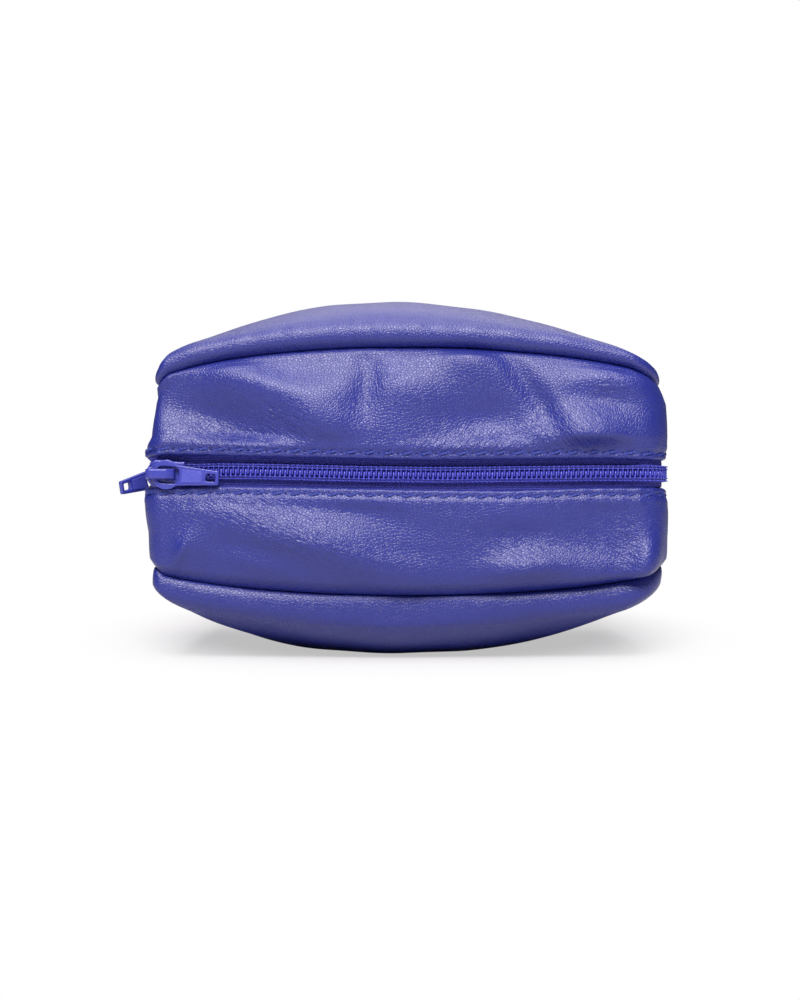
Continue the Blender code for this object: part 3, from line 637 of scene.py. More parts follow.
def dents_shown(heights, seam):
    """Share of the dents that shows at each height, none of them at the stitches or the seam."""
    grown = np.clip((heights - HALF_WINDOW - STITCH_FROM_FOLD - DENTS_PAST_ROW) / DENTS_GROW, 0, 1)
    return grown**2 * (3 - 2 * grown) * np.clip((DENTS_END * seam - heights) / DENTS_FADE, 0, 1)


def hollow(x, outward, height, side):
    """How far in the dents push what lies behind the front wall, fading round the corners."""
    pushed = relief(np.array(x), np.array(side * height), UPPER_DENTS if side == UP else LOWER_DENTS)
    shown = float(dents_shown(height, seam_height(x, side)))
    return max(0.0, -float(pushed) * shown) * max(0.0, -outward.y)


def band_inset(height, x, side):
    """How far inside the zip's line the band's outer face is, at a height from the zip."""
    start_share = HALF_WINDOW / seam_height(x, side)
    swell_share = max(0.0, (min(1.0, height / seam_height(x, side)) - start_share) / (1 - start_share))
    bulge = END_BULGE + (MIDDLE_BULGE - END_BULGE) * arch(x)
    return lean_at(x) * swell_share**2 - bulge * math.sin(math.pi * swell_share)


def fold_bow(along, side):
    """Rise of the fold off its straight line at a distance along the front."""
    return np.interp(along / MM, *zip(*FOLD_BOW[side], strict=True)) * MM


def wall_rows(x, side, start, steps, fuller_over):
    """(inset, height, side) up the wall from a height, fuller near the seam, and in under the roll."""
    seam = seam_height(x, side)
    lip = LIP[side] * arch(x)
    fullness, top_share = TURN_MARKS[side][0]
    rows = []
    for step in range(1, steps + 1):
        height = start + (top_share * seam - start) * step / steps
        full = (fullness * MM - lip) * smooth((height / seam - FULLER_FROM) / fuller_over)
        rows.append((band_inset(height, x, side) + full, height, side))
    for (out, share), lip_share in zip(TURN_MARKS[side][1:], LIP_SHARES, strict=False):
        rows.append((lean_at(x) + out * MM - lip * lip_share, share * seam, side))
    return rows


def gusset_column(x, side, steps):
    """(inset, height, side) from the hem's raw edge, round the fold and up the wall to the seam."""
    fold = HEM_INSET / 2
    hem_end = HALF_WINDOW + HEM
    rows = []
    for step in range(HEM_STEPS):
        rows.append((HEM_INSET, hem_end + (HALF_WINDOW + fold - hem_end) * step / HEM_STEPS, side))
    for step in range(FOLD_STEPS + 1):
        angle = math.pi * (1 - step / FOLD_STEPS)
        rows.append((fold - fold * math.cos(angle), HALF_WINDOW + fold - fold * math.sin(angle), side))
    return rows + wall_rows(x, side, HALF_WINDOW + fold, steps, TURN_MARKS[side][0][1] - FULLER_FROM)


def strip_grid(stations, column_at, *settings):
    """Places of a strip of the band, their levels over the zip and their distances along the front."""
    places = []
    levels = []
    for station in stations:
        rows = column_at(at_station(0, station, 0, UP).x, *settings)
        places.append([at_station(inset, station, height, side) for inset, height, side in rows])
        levels.append([side * height for _, height, side in rows])
    along = np.repeat([[along_front(station)] for station in stations], len(levels[0]), axis=1)
    return np.array(places), np.array(levels), along


def make_zip_gusset(title, side, body, node, dents, creased):
    """A band with its hem, dimpled by its stitches and dented by use."""
    stations = spaced_stations(range(7), GUSSET_SPACING)
    steps = round(SEAM_MIDDLE[side] / GUSSET_SPACING)
    places, level, along = strip_grid(stations, gusset_column, side, steps)
    heights = side * level
    seam = np.array([seam_height(at_station(0, s, 0, UP).x, side) for s in stations])[:, None]
    front = np.zeros_like(heights)
    front[:, HEM_STEPS + FOLD_STEPS // 2 :] = 1.0
    bowed = np.clip(1 - (heights - HALF_WINDOW) / (seam - HALF_WINDOW), 0, 1)
    places[:, :, 2] += fold_bow(along, side) * bowed

    at_hole = 0.5 + 0.5 * np.cos(2 * math.pi * along / STITCH_PITCH)
    sewn = np.zeros_like(heights)
    for from_fold, half_width, rise, steady, more in SEWN_RIDGES:
        off_ridge = (heights - HALF_WINDOW - from_fold * MM) / (half_width * MM)
        sewn += rise * MM * np.exp(-(off_ridge**2)) * (steady + more * at_hole)

    lift = relief(along, level, dents) + uneven(places, GUSSET_WAVE, GUSSET_WAVE_RISE, seed=5 * side)
    lift *= dents_shown(heights, seam) * np.where(front > 0, 1.0, -1.0)
    places = swayed(places + surface_normals(places, side, False) * (lift + sewn * front)[:, :, None])

    flat = np.stack([along, side * walked(places)], axis=2) / MM
    strengths = np.zeros((*heights.shape, 3))
    for *mark, strength, way in creased:
        strengths[:, :, way] += relief(along, level, [(*mark, strength)]) / MM
    strengths *= (front * np.clip((heights - HALF_WINDOW) / CREASES_GROW, 0, 1))[:, :, None]
    made = lay_skin(title, places, flat, LEATHER, side, creases=np.clip(strengths, 0, 1))
    made.data.materials.append(leather)
    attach(made, body)
    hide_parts(node)


make_zip_gusset("lower_zip_gusset_skin", DOWN, "base", "lower_zip_gusset", LOWER_DENTS, LOWER_CREASES)
make_zip_gusset("upper_zip_gusset_skin", UP, "lid", "upper_zip_gusset", UPPER_DENTS, UPPER_CREASES)

# Back gusset.
# One uncut strip of the calf leather across the back, sewn to both face panels and to the ends of
# the zip gussets. It is the pouch's hinge: it bends level with the zip when the pouch opens.
BACK_SEAM_GAP = 0.25 * MM
BACK_SPACING = 1.5 * GUSSET_SPACING
BACK_FULLER_OVER = 0.3
BACK_WAVE = 15.0 * MM
BACK_WAVE_RISE = 0.6 * MM
BACK_CALM = 24.0 * MM
BEND_GROOVE = 0.5 * MM
BEND_HALF_WIDTH = 2.2 * MM
BEND_CREASED = 6.0 * MM


def back_column(x, steps):
    """(inset, height, side) from the lower seam allowance to the upper one."""
    lower, upper = (wall_rows(x, side, 0.0, steps, BACK_FULLER_OVER) for side in (DOWN, UP))
    return [*lower[::-1], (band_inset(0, x, UP), 0.0, UP), *upper]


def make_back_gusset():
    """The back strip in one piece, grooved and creased along its bend level with the zip."""
    length = band_run(0)[7][2]
    count = round(length / BACK_SPACING)
    end_share = BACK_SEAM_GAP / length
    stations = [(7, end_share + (1 - 2 * end_share) * step / count) for step in range(count + 1)]
    places, level, along = strip_grid(stations, back_column, round(SEAM_MIDDLE[UP] / BACK_SPACING))
    calm = np.clip(1 - np.abs(level) / BACK_CALM, 0, 1) ** 0.5
    lift = uneven(places, BACK_WAVE, BACK_WAVE_RISE, seed=9) * calm
    lift -= BEND_GROOVE * np.exp(-((level / BEND_HALF_WIDTH) ** 2))
    places = swayed(places + surface_normals(places, UP, False) * lift[:, :, None])
    flat = np.stack([along, level], axis=2) / MM
    strengths = np.zeros((*level.shape, 3))
    strengths[:, :, 0] = 0.5 * np.exp(-((level / BEND_CREASED) ** 2))
    made = lay_skin("back_gusset_skin", places, flat, LEATHER, UP, creases=strengths)
    made.data.materials.append(leather)
    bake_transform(made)
    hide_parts("lower_back_gusset", "upper_back_gusset")


make_back_gusset()

# Lining.
# A bag of dark blue polyester taffeta in two halves, sewn in behind the hems at the zip and along
# the back. It hangs a little clear of the leather, and nobody sees more of it than the open zip shows.
CLOTH = 0.5 * MM
LINING_INSET = 3.4 * MM
LINING_CORNER = 5.0 * MM
LINING_DROP = 2.5 * MM
LINING_EDGE = 4.4 * MM
BACK_EDGE = 0.3 * MM
LINING_WALL_SHARES = (0.0, 0.15, 0.35, 0.55, 0.75, 0.9)
LINING_DOME_SHARES = (1.0, 0.93, 0.82, 0.66, 0.48, 0.3, 0.15, 0.0)
LINING_SPACING = 1.6 * MM
SLACK_FROM_EDGE = 10.0 * MM
SLACK_OVER = 10.0 * MM
SLACK_DROP = 0.6 * MM
SLACK_WAVE = 19.0 * MM
SLACK_WAVE_RISE = 0.9 * MM
WALL_FOLDS = 13
WALL_FOLD_RISE = 0.9 * MM
FOLDS_FROM_MIDDLE = 26.0 * MM
FOLDS_OVER = 22.0 * MM
LINING_BLUE = "#23265A"
LINING_SHADE = "#171A42"

# Thread spacing of the weave in mm and its rise. A Wave texture of scale 1 has 3.2 bands a unit.
THREAD = 0.45
THREAD_RISE = 0.05 * MM
BANDS = 3.2


def shade_by(tree, shader, pattern, dark, light, height=None, rise=0.0):
    """Let a pattern run the shader's colour from dark to light, and a height raise its surface."""
    shade = add_node(
        tree, "ShaderNodeMix", {"Factor": pattern, "A": linear(dark), "B": linear(light)}, data_type="RGBA"
    )
    feed(tree, shader, {"Base Color": shade.outputs["Result"]})
    if height is not None:
        bump = add_node(tree, "ShaderNodeBump", {"Distance": rise, "Height": height})
        feed(tree, shader, {"Normal": bump.outputs["Normal"]})


def taffeta():
    """Plain weave of filament yarn: a fine square grid with a dull lustre, drawn at 0.45 mm a thread."""
    made, tree, shader = new_finish("woven_polyester_taffeta")
    flat = add_node(tree, "ShaderNodeUVMap", uv_map="flat_mm").outputs["UV"]
    threads = {"Vector": flat, "Scale": 1 / (THREAD * BANDS), "Distortion": 0.6, "Detail": 1.0}
    warp, weft = (
        add_node(tree, "ShaderNodeTexWave", threads, bands_direction=way).outputs["Fac"] for way in "XY"
    )
    weave = add_node(tree, "ShaderNodeMath", {0: warp, 1: weft}, operation="MULTIPLY").outputs[0]
    shade_by(tree, shader, weave, LINING_SHADE, LINING_BLUE, weave, THREAD_RISE)
    feed(tree, shader, {"Roughness": 0.6, "Sheen Weight": 0.2})
    return made


lining_cloth = taffeta()


def lining_edge(station):
    """Height of the lining's edge from the zip: at the window in front, at the fold behind."""
    piece, share = station
    if piece == 7:
        return BACK_EDGE
    if piece == 0:
        return BACK_EDGE + (LINING_EDGE - BACK_EDGE) * share
    if piece == 6:
        return LINING_EDGE + (BACK_EDGE - LINING_EDGE) * share
    return LINING_EDGE


def make_lining(title, side, body, node):
    """A half of the bag, hung slack inside its leather with loose folds along the wall."""
    marks = []
    for station in spaced_stations(range(8), LINING_SPACING)[:-1]:
        x = at_station(0, station, 0, UP).x
        seam = seam_height(x, side)
        edge = lining_edge(station)
        _, outward = on_piece(band_run(0)[station[0]], station[1])
        column = []
        for share in LINING_WALL_SHARES:
            height = edge + share * (seam - edge)
            inset = max(0.0, band_inset(height, x, side)) + LINING_INSET + hollow(x, outward, height, side)
            column.append(at_station(inset, station, height, side, LINING_CORNER))
        inset = lean_at(x) + LINING_INSET + LEATHER
        for share in LINING_DOME_SHARES:
            column.append(dome_point(station, share, side, inset, LINING_DROP, LINING_CORNER))
        marks.append(column)
    places = drawn_through(np.array(marks), LINING_SPACING)
    from_edge, radius, turn, flat = ring_pattern(places)
    slack = np.clip((from_edge - SLACK_FROM_EDGE) / SLACK_OVER, 0, 1)
    folds = 0.5 + 0.5 * np.sin(WALL_FOLDS * turn + 2 * np.sin(2 * turn))
    near_wall = np.clip((radius - FOLDS_FROM_MIDDLE) / FOLDS_OVER, 0, 1)
    hanging = SLACK_DROP + uneven(places, SLACK_WAVE, SLACK_WAVE_RISE, seed=4)
    inward = slack * (WALL_FOLD_RISE * folds * near_wall + hanging * np.clip(radius / CALM_MIDDLE, 0, 1))
    places = swayed(places - surface_normals(places, side, True) * inward[:, :, None])
    made = lay_skin(title, places, flat, CLOTH, side, closed=True)
    made.data.materials.append(lining_cloth)
    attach(made, body)
    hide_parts(node)


make_lining("lower_lining_cloth", DOWN, "base", "lower_lining")
make_lining("upper_lining_cloth", UP, "lid", "upper_lining")

# Zip tapes.
# Two tapes of woven polyester, sewn behind the folded edges. Their inner edges carry the coils, and
# they run from one rear corner round the front to the other. They part where the zip is open.
TAPE_INSET = 2.6 * MM
TAPE_EDGE = 1.2 * MM
TAPE_WIDTH = 7.3 * MM
TAPE_STEPS = 14
TAPE_SPACING = 0.8 * MM
CLOSED_EDGE = 0.3 * MM
NOSE_REACH = 1.9 * MM
INNER_WING_SHORTER = 3.3 * MM
LAYER_GAP = 0.3 * MM
POST_LENGTH = 1.2 * MM
SPREAD_RUN = 1.2 * MM
OPEN_SPREAD = 1.35 * MM
FRONT_PIN_X = -HALF_LENGTH + 3.2 * MM
END_PIN_Y = -HALF_DEPTH + 30.0 * MM

# Where the chain's middle lies from its straight line: x and rise, in mm.
CHAIN_BOW = (
    *((-75, 0.0), (-55, 0.4), (-45, 0.7), (-35, 0.6), (-10, 0.0)),
    *((10, -0.2), (45, 0.2), (60, 0.15), (75, 0.0)),
)

# The chain and the tapes stand out of their channel where they turn the two front corners.
RIGHT_CORNER_RISE = 1.6 * MM
RIGHT_RISE_X = (0.8 * HALF_LENGTH, 0.14 * HALF_LENGTH)
RIGHT_RISE_Y = 0.6 * HALF_DEPTH
LEFT_CORNER_RISE = 1.9 * MM
LEFT_RISE_X = (58.6 * MM, 1.2 * MM)
LEFT_RISE_Y = (31.0 * MM, 6.0 * MM)
RISE_PAST_WINDOW = 0.2 * MM
RISE_FADE = 0.9 * MM
RISE_GROW = 0.7 * MM
TAPE_BLUE = "#4145B4"
TAPE_SHADE = "#24277A"
TAPE_RIB = 0.55
TAPE_RIB_RISE = 0.08 * MM
TAPE_TWILL = math.radians(38)


def ribbed_tape():
    """Woven polyester tape: lengthwise ribs with a fine cross weave, matt, dyed a shade under the coil."""
    made, tree, shader = new_finish("woven_polyester_tape")
    flat = add_node(tree, "ShaderNodeUVMap", uv_map="flat_mm").outputs["UV"]
    slanted = add_node(tree, "ShaderNodeMapping", {"Vector": flat, "Rotation": (0, 0, TAPE_TWILL)})
    twill, rib = (
        add_node(
            tree, "ShaderNodeTexWave", {"Vector": laid, "Scale": 1 / (TAPE_RIB * BANDS)}, bands_direction=way
        ).outputs["Fac"]
        for laid, way in ((slanted.outputs[0], "X"), (flat, "Y"))
    )
    weave = add_node(tree, "ShaderNodeMath", {0: twill, 1: rib}, operation="ADD").outputs[0]
    depth = add_node(tree, "ShaderNodeMapRange", {"Value": weave, "From Max": 2.0}).outputs["Result"]
    shade_by(tree, shader, depth, TAPE_SHADE, TAPE_BLUE, weave, TAPE_RIB_RISE)
    feed(tree, shader, {"Roughness": 0.75})
    return made


tape_weave = ribbed_tape()


def along_run(run, distance):
    """Point and outward direction at a distance along a run."""
    for piece in run:
        if distance <= piece[2]:
            return on_piece(piece, distance / piece[2])
        distance -= piece[2]
    return on_piece(run[-1], 1)


def meshing_place(pin):
    """Place along a slider where its chain is just closed, for a pin at a place on the same line."""
    return pin - NOSE_REACH + INNER_WING_SHORTER + 2 * LAYER_GAP + POST_LENGTH + SPREAD_RUN


def spread_at(point, outward):
    """How far each half of the chain has moved away from the middle."""
    if -outward.x > 0.5:
        return OPEN_SPREAD * smooth((meshing_place(END_PIN_Y) - point.y) / SPREAD_RUN)
    if -outward.y > 0.5:
        return OPEN_SPREAD * smooth((meshing_place(FRONT_PIN_X) - point.x) / SPREAD_RUN)
    return 0.0


def chain_bow(point):
    """Rise of the chain off its straight line, along the front only."""
    if point.y > -HALF_DEPTH / 2:
        return 0.0
    fade = smooth((-point.y - HALF_DEPTH / 2) / (HALF_DEPTH / 3))
    return float(np.interp(point.x / MM, *zip(*CHAIN_BOW, strict=True))) * MM * fade


def left_corner_rise(point):
    """How far the tape stands out of its channel round the left front corner."""
    out = smooth((-point.x - LEFT_RISE_X[0]) / LEFT_RISE_X[1])
    return LEFT_CORNER_RISE * out * smooth((-point.y - LEFT_RISE_Y[0]) / LEFT_RISE_Y[1])


def right_corner_rise(point):
    """How far the chain and its tape stand out of their channel round the right front corner."""
    out = smooth((point.x - RIGHT_RISE_X[0]) / RIGHT_RISE_X[1])
    return RIGHT_CORNER_RISE * out * smooth(-point.y / RIGHT_RISE_Y)


def zip_point(run, distance, height, side):
    """Point of the zip at a distance along a run and a height from the chain's middle."""
    point, outward = along_run(run, distance)
    rise = side * (height + spread_at(point, outward)) + chain_bow(point)
    return Vector((point.x, point.y, ZIP_HEIGHT + rise))


def make_tape(title, side, body, node):
    """A tape from the coil out to behind the hem."""
    run = band_run(TAPE_INSET)[:7]
    length = sum(piece[2] for piece in run)
    count = round(length / TAPE_SPACING)
    distances = [length * step / count for step in range(count + 1)]
    width = TAPE_EDGE + TAPE_WIDTH - CLOSED_EDGE
    heights = [CLOSED_EDGE + width * row / TAPE_STEPS for row in range(TAPE_STEPS + 1)]
    columns = []
    for distance in distances:
        _, outward = along_run(run, distance)
        column = []
        for height in heights:
            place = zip_point(run, distance, height, side)
            in_window = smooth((HALF_WINDOW + RISE_PAST_WINDOW - height) / RISE_FADE)
            past_edge = smooth((height - TAPE_EDGE) / RISE_GROW)
            rise = (right_corner_rise(place) + left_corner_rise(place) * past_edge) * in_window
            rise -= hollow(place.x, outward, height, side)
            column.append(place + rise * outward.to_3d())
        columns.append(column)
    flat = np.array([[(distance, side * height) for height in heights] for distance in distances]) / MM
    made = lay_skin(title, np.array(columns), flat, CLOTH, side)
    made.data.materials.append(tape_weave)
    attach(made, body)
    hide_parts(node)


make_tape("lower_tape", DOWN, "base", "lower_zip_tape")
make_tape("upper_tape", UP, "lid", "upper_zip_tape")

# Zip chain.
# Two coils of nylon monofilament, wound round a filler cord and sewn to the tapes with a double row
# of lockstitch, one stitch over each turn. Their heads hook into each other along the middle.
COIL_INSET = 1.85 * MM
COIL_PITCH = 1.18 * MM
CHAIN_END = 3.0 * MM
LOOP_NEAR = 2.0 * MM
LOOP_PAST = 0.78 * MM
WIRE_RADIUS = 0.255 * MM
LOOP_DEPTH = 0.27 * MM
LOOP_LEAN = 0.07 * MM
LOOP_SEGMENTS = 10
WIRE_SIDES = 6
SEWING_FROM_MIDDLE = 1.42 * MM
SEWING_SPREAD = 0.62 * MM
SEWING_LENGTH = 1.12 * COIL_PITCH
SEWING_RADIUS = 0.12 * MM
STITCH_SEGMENTS = 5
CORD_RADIUS = 0.34 * MM
COIL_BLUE = "#484CC0"
COIL_SHADE = "#393CA4"
SEWING_BLUE = "#4A50C4"
CORD_BLUE = "#34379E"
CORD_SHADE = "#24267A"

# What shows on the nylon and the threads: draw marks, and the ply of the twist.
DRAW_MARK = 1.5 * MM
PLY = 0.55 * MM
PLY_RISE = 0.04 * MM


def drawn_nylon():
    """Nylon monofilament, drawn and heat set: smooth and half glossy, with bright lines on each turn."""
    made, tree, shader = new_finish("heat_set_nylon_monofilament")
    place = add_node(tree, "ShaderNodeTexCoord").outputs["Object"]
    streaks = add_node(tree, "ShaderNodeTexNoise", {"Vector": place, "Scale": 1 / DRAW_MARK, "Detail": 2.0})
    shade_by(tree, shader, streaks.outputs["Fac"], COIL_SHADE, COIL_BLUE)
    gloss = add_node(
        tree, "ShaderNodeMapRange", {"Value": streaks.outputs["Fac"], "To Min": 0.26, "To Max": 0.4}
    )
    feed(tree, shader, {"Roughness": gloss.outputs["Result"], "IOR": 1.53})
    return made


def spun_thread(title, light, dark):
    """Twisted polyester sewing thread: soft lustre, with the ply as slanting light and dark."""
    made, tree, shader = new_finish(title)
    place = add_node(tree, "ShaderNodeTexCoord").outputs["Object"]
    ply = add_node(
        tree,
        "ShaderNodeTexWave",
        {"Vector": place, "Scale": 1 / (PLY * BANDS), "Distortion": 1.5, "Detail": 1.0},
        bands_direction="DIAGONAL",
    ).outputs["Fac"]
    shade_by(tree, shader, ply, dark, light, ply, PLY_RISE)
    feed(tree, shader, {"Roughness": 0.55})
    return made


coil_nylon = drawn_nylon()
coil_thread = spun_thread("polyester_lockstitch_thread", SEWING_BLUE, COIL_SHADE)
tape_cord = spun_thread("braided_filler_cord", CORD_BLUE, CORD_SHADE)


def row_tree(title, sizes, build_piece):
    """Geometry Nodes: one piece every Pitch along a row, its X along the row and its Z outward."""
    tree = bpy.data.node_groups.new(title, "GeometryNodeTree")
    tree.interface.new_socket("Geometry", in_out="OUTPUT", socket_type="NodeSocketGeometry")
    tree.interface.new_socket("Row", in_out="INPUT", socket_type="NodeSocketGeometry")
    names = {}
    for name in (*sizes, "Finish"):
        kind = "NodeSocketMaterial" if name == "Finish" else "NodeSocketFloat"
        names[name] = tree.interface.new_socket(name, in_out="INPUT", socket_type=kind).identifier
    given = add_node(tree, "NodeGroupInput").outputs
    curve = add_node(tree, "GeometryNodeMeshToCurve", {"Mesh": given["Row"]})
    points = add_node(
        tree,
        "GeometryNodeCurveToPoints",
        {"Curve": curve.outputs[0], "Length": given["Pitch"]},
        mode="LENGTH",
    ).outputs
    outward = add_node(tree, "GeometryNodeInputNamedAttribute", {"Name": "outward"}, data_type="FLOAT_VECTOR")
    aligned = add_node(tree, "FunctionNodeAlignRotationToVector", {"Vector": points["Tangent"]}, axis="X")
    turned = add_node(
        tree,
        "FunctionNodeAlignRotationToVector",
        {"Rotation": aligned.outputs[0], "Vector": outward.outputs[0]},
        axis="Z",
        pivot_axis="X",
    )
    placed = add_node(
        tree,
        "GeometryNodeInstanceOnPoints",
        {"Points": points["Points"], "Instance": build_piece(tree, given), "Rotation": turned.outputs[0]},
    )
    realized = add_node(tree, "GeometryNodeRealizeInstances", {0: placed.outputs[0]})
    shaded = add_node(tree, "GeometryNodeSetShadeSmooth", {0: realized.outputs[0]})
    finished = add_node(
        tree, "GeometryNodeSetMaterial", {"Geometry": shaded.outputs[0], "Material": given["Finish"]}
    )
    add_node(tree, "NodeGroupOutput", {0: finished.outputs[0]})
    return tree, names


def tube(tree, path, radius, sides):
    """A path's tube with closed ends."""
    ring = add_node(tree, "GeometryNodeCurvePrimitiveCircle", {"Resolution": sides, "Radius": radius})
    return add_node(
        tree, "GeometryNodeCurveToMesh", {"Curve": path, "Profile Curve": ring.outputs[0], "Fill Caps": True}
    ).outputs[0]


def coil_turn(tree, given):
    """One turn: a ring of wire, long across the chain and shallow through it, with a small lean."""
    ring = add_node(tree, "GeometryNodeCurvePrimitiveCircle", {"Resolution": LOOP_SEGMENTS, "Radius": 1.0})
    place = add_node(tree, "GeometryNodeInputPosition")
    at = add_node(tree, "ShaderNodeSeparateXYZ", {0: place.outputs[0]}).outputs
    laid = add_node(tree, "ShaderNodeCombineXYZ", {0: at[0], 1: at[0], 2: at[1]})
    reach = {0: given["Lean"], 1: given["Half reach"], 2: given["Depth"]}
    size = add_node(tree, "ShaderNodeCombineXYZ", reach)
    middle = add_node(tree, "ShaderNodeCombineXYZ", {1: given["Middle"]})
    moved = add_node(
        tree,
        "ShaderNodeVectorMath",
        {0: laid.outputs[0], 1: size.outputs[0], 2: middle.outputs[0]},
        operation="MULTIPLY_ADD",
    )
    shaped = add_node(
        tree, "GeometryNodeSetPosition", {"Geometry": ring.outputs[0], "Position": moved.outputs[0]}
    )
    return tube(tree, shaped.outputs[0], given["Wire radius"], WIRE_SIDES)


def sewn_stitch(tree, given):
    """One stitch: two strands side by side that rise from the needle hole and dive into the next."""
    strands = add_node(tree, "GeometryNodeJoinGeometry")
    reach = add_node(tree, "ShaderNodeCombineXYZ", {0: given["Length"], 1: given["Slant"]}).outputs[0]
    for hand in (-0.5, 0.5):
        apart = add_node(tree, "ShaderNodeMath", {0: given["Spread"], 1: hand}, operation="MULTIPLY")
        across = apart.outputs[0]
        foot = add_node(tree, "ShaderNodeCombineXYZ", {1: across, 2: given["Sink"]}).outputs[0]
        start, end = (
            add_node(
                tree,
                "ShaderNodeVectorMath",
                {0: reach, 1: (way, way, way), 2: foot},
                operation="MULTIPLY_ADD",
            ).outputs[0]
            for way in (-0.5, 0.5)
        )
        top = add_node(tree, "ShaderNodeCombineXYZ", {1: across, 2: given["Rise"]}).outputs[0]
        line = add_node(
            tree,
            "GeometryNodeCurveQuadraticBezier",
            {"Resolution": STITCH_SEGMENTS, "Start": start, "Middle": top, "End": end},
        )
        strand = tube(tree, line.outputs[0], given["Thread radius"], STITCH_SEGMENTS)
        tree.links.new(strand, strands.inputs[0])
    return strands.outputs[0]


def add_row(title, places, outwards, tree, names, values):
    """A mesh made by a row tree along places, applied and freed of its modifier."""
    mesh = bpy.data.meshes.new(title)
    mesh.from_pydata([tuple(place) for place in places], [(k, k + 1) for k in range(len(places) - 1)], [])
    marks = mesh.attributes.new("outward", "FLOAT_VECTOR", "POINT")
    marks.data.foreach_set("vector", np.array(outwards, dtype=np.float32).ravel())
    made = add_object(title, mesh)
    row = made.modifiers.new("row", "NODES")
    row.node_group = tree
    for name, value in values.items():
        row[names[name]] = value
    return settle(made)


def swept(title, lines, closed=False, **settings):
    """A mesh from a curve through each line of points, with the curve's settings."""
    curve = bpy.data.curves.new(title, "CURVE")
    for name, value in settings.items():
        setattr(curve, name, value)
    for line in lines:
        spline = curve.splines.new("POLY")
        spline.points.add(len(line) - 1)
        for point, place in zip(spline.points, line, strict=True):
            point.co = (*place.to_3d(), 1)
        spline.use_cyclic_u = closed
    carrier = add_object(title, curve)
    mesh = evaluated_mesh(carrier)
    bpy.data.objects.remove(carrier)
    return mesh


TURN_SIZES = ("Pitch", "Half reach", "Middle", "Lean", "Depth", "Wire radius")
turn_tree, turn_names = row_tree("coil_turns", TURN_SIZES, coil_turn)
STITCH_SIZES = ("Pitch", "Length", "Spread", "Slant", "Rise", "Sink", "Thread radius")
stitch_tree, stitch_names = row_tree("sewn_stitches", STITCH_SIZES, sewn_stitch)


def chain_row(side, height):
    """Places and outward directions along a half of the chain; the upper half is half a pitch on."""
    run = band_run(COIL_INSET)[:7]
    start = run[0][2] + CHAIN_END + (0.5 if side == UP else 0.0) * COIL_PITCH
    end = sum(piece[2] for piece in run) - run[6][2] - CHAIN_END
    turns = int((end - start) / COIL_PITCH)
    places = []
    outwards = []
    for step in range(2 * turns + 1):
        distance = start + step * COIL_PITCH / 2
        outward = along_run(run, distance)[1].to_3d()
        place = zip_point(run, distance, height, side)
        places.append(place + right_corner_rise(place) * outward)
        outwards.append(outward)
    return places, outwards


def make_coil(half, side, body):
    """A half of the chain: its turns, the sewing over them and the cord through them."""
    turns = {
        "Pitch": COIL_PITCH,
        "Half reach": side * ((LOOP_NEAR + LOOP_PAST) / 2 - WIRE_RADIUS),
        "Middle": side * (LOOP_NEAR - LOOP_PAST) / 2,
        "Lean": side * LOOP_LEAN,
        "Depth": LOOP_DEPTH,
        "Wire radius": WIRE_RADIUS,
        "Finish": coil_nylon,
    }
    coil = add_row(f"{half}_coil_turns", *chain_row(side, 0.0), turn_tree, turn_names, turns)
    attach(coil, body)
    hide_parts(f"{half}_coil")

    places, outwards = chain_row(side, SEWING_FROM_MIDDLE)
    stitches = {
        "Pitch": COIL_PITCH,
        "Length": SEWING_LENGTH,
        "Spread": SEWING_SPREAD,
        "Slant": 0.0,
        "Rise": 2 * (LOOP_DEPTH + WIRE_RADIUS) + SEWING_RADIUS,
        "Sink": SEWING_RADIUS,
        "Thread radius": SEWING_RADIUS,
        "Finish": coil_thread,
    }
    sewing = add_row(f"{half}_coil_sewing", places, outwards, stitch_tree, stitch_names, stitches)
    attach(sewing, body)

    title = f"{half}_filler_cord"
    wound = {"dimensions": "3D", "bevel_depth": CORD_RADIUS, "bevel_resolution": 1, "use_fill_caps": True}
    cord = add_object(title, swept(title, [places], **wound))
    cord.data.shade_smooth()
    cord.data.materials.append(tape_cord)
    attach(cord, body)


make_coil("lower", DOWN, "base")
make_coil("upper", UP, "lid")

# Topstitching.
# One row of lockstitch in polyester thread a shade brighter than the leather, 1.5 mm from each fold.
# The stitches slant a little, and each dives into a needle hole that dimples the leather. A dark lens in each
# dimple is its painted shade.
STITCH_BLUE = "#3648A8"
STITCH_SHADE = "#28368E"
# Nearly black blue painted as the shade in the needle holes.
HOLE_SHADE_BLUE = "#14164A"
ROW_STEPS = 8
ROW_BOW_SHARE = 0.94
ROW_SINK = 0.20 * MM
HOLE_SINK = 0.22 * MM
SHADE_MOTTLE = 0.3 * MM
top_thread = spun_thread("bonded_polyester_topstitch_thread", STITCH_BLUE, STITCH_SHADE)


def shaded_hole():
    """Painted shadow for a needle hole: nearly black blue and dull, mottled a little towards the leather's
    deep blue.
    """
    made, tree, shader = new_finish("pierced_leather_edge")
    place = add_node(tree, "ShaderNodeTexCoord").outputs["Object"]
    shade_mottle = add_node(tree, "ShaderNodeTexNoise", {"Vector": place, "Scale": 1 / SHADE_MOTTLE})
    shade_by(tree, shader, shade_mottle.outputs["Fac"], HOLE_SHADE_BLUE, LEATHER_DEEP)
    feed(tree, shader, {"Roughness": 0.9})
    return made


def needle_hole(tree, given):
    """A small flat dark lens, longer than it is wide, that paints the shade in the dimple where the thread
    dives.
    """
    ball = add_node(
        tree, "GeometryNodeMeshUVSphere", {"Segments": 8, "Rings": 4, "Radius": given["Hole radius"]}
    )
    size = add_node(tree, "ShaderNodeCombineXYZ", {0: 1.25, 1: 0.8, 2: given["Flatness"]})
    flattened = add_node(
        tree, "GeometryNodeTransform", {"Geometry": ball.outputs[0], "Scale": size.outputs[0]}
    )
    return flattened.outputs[0]


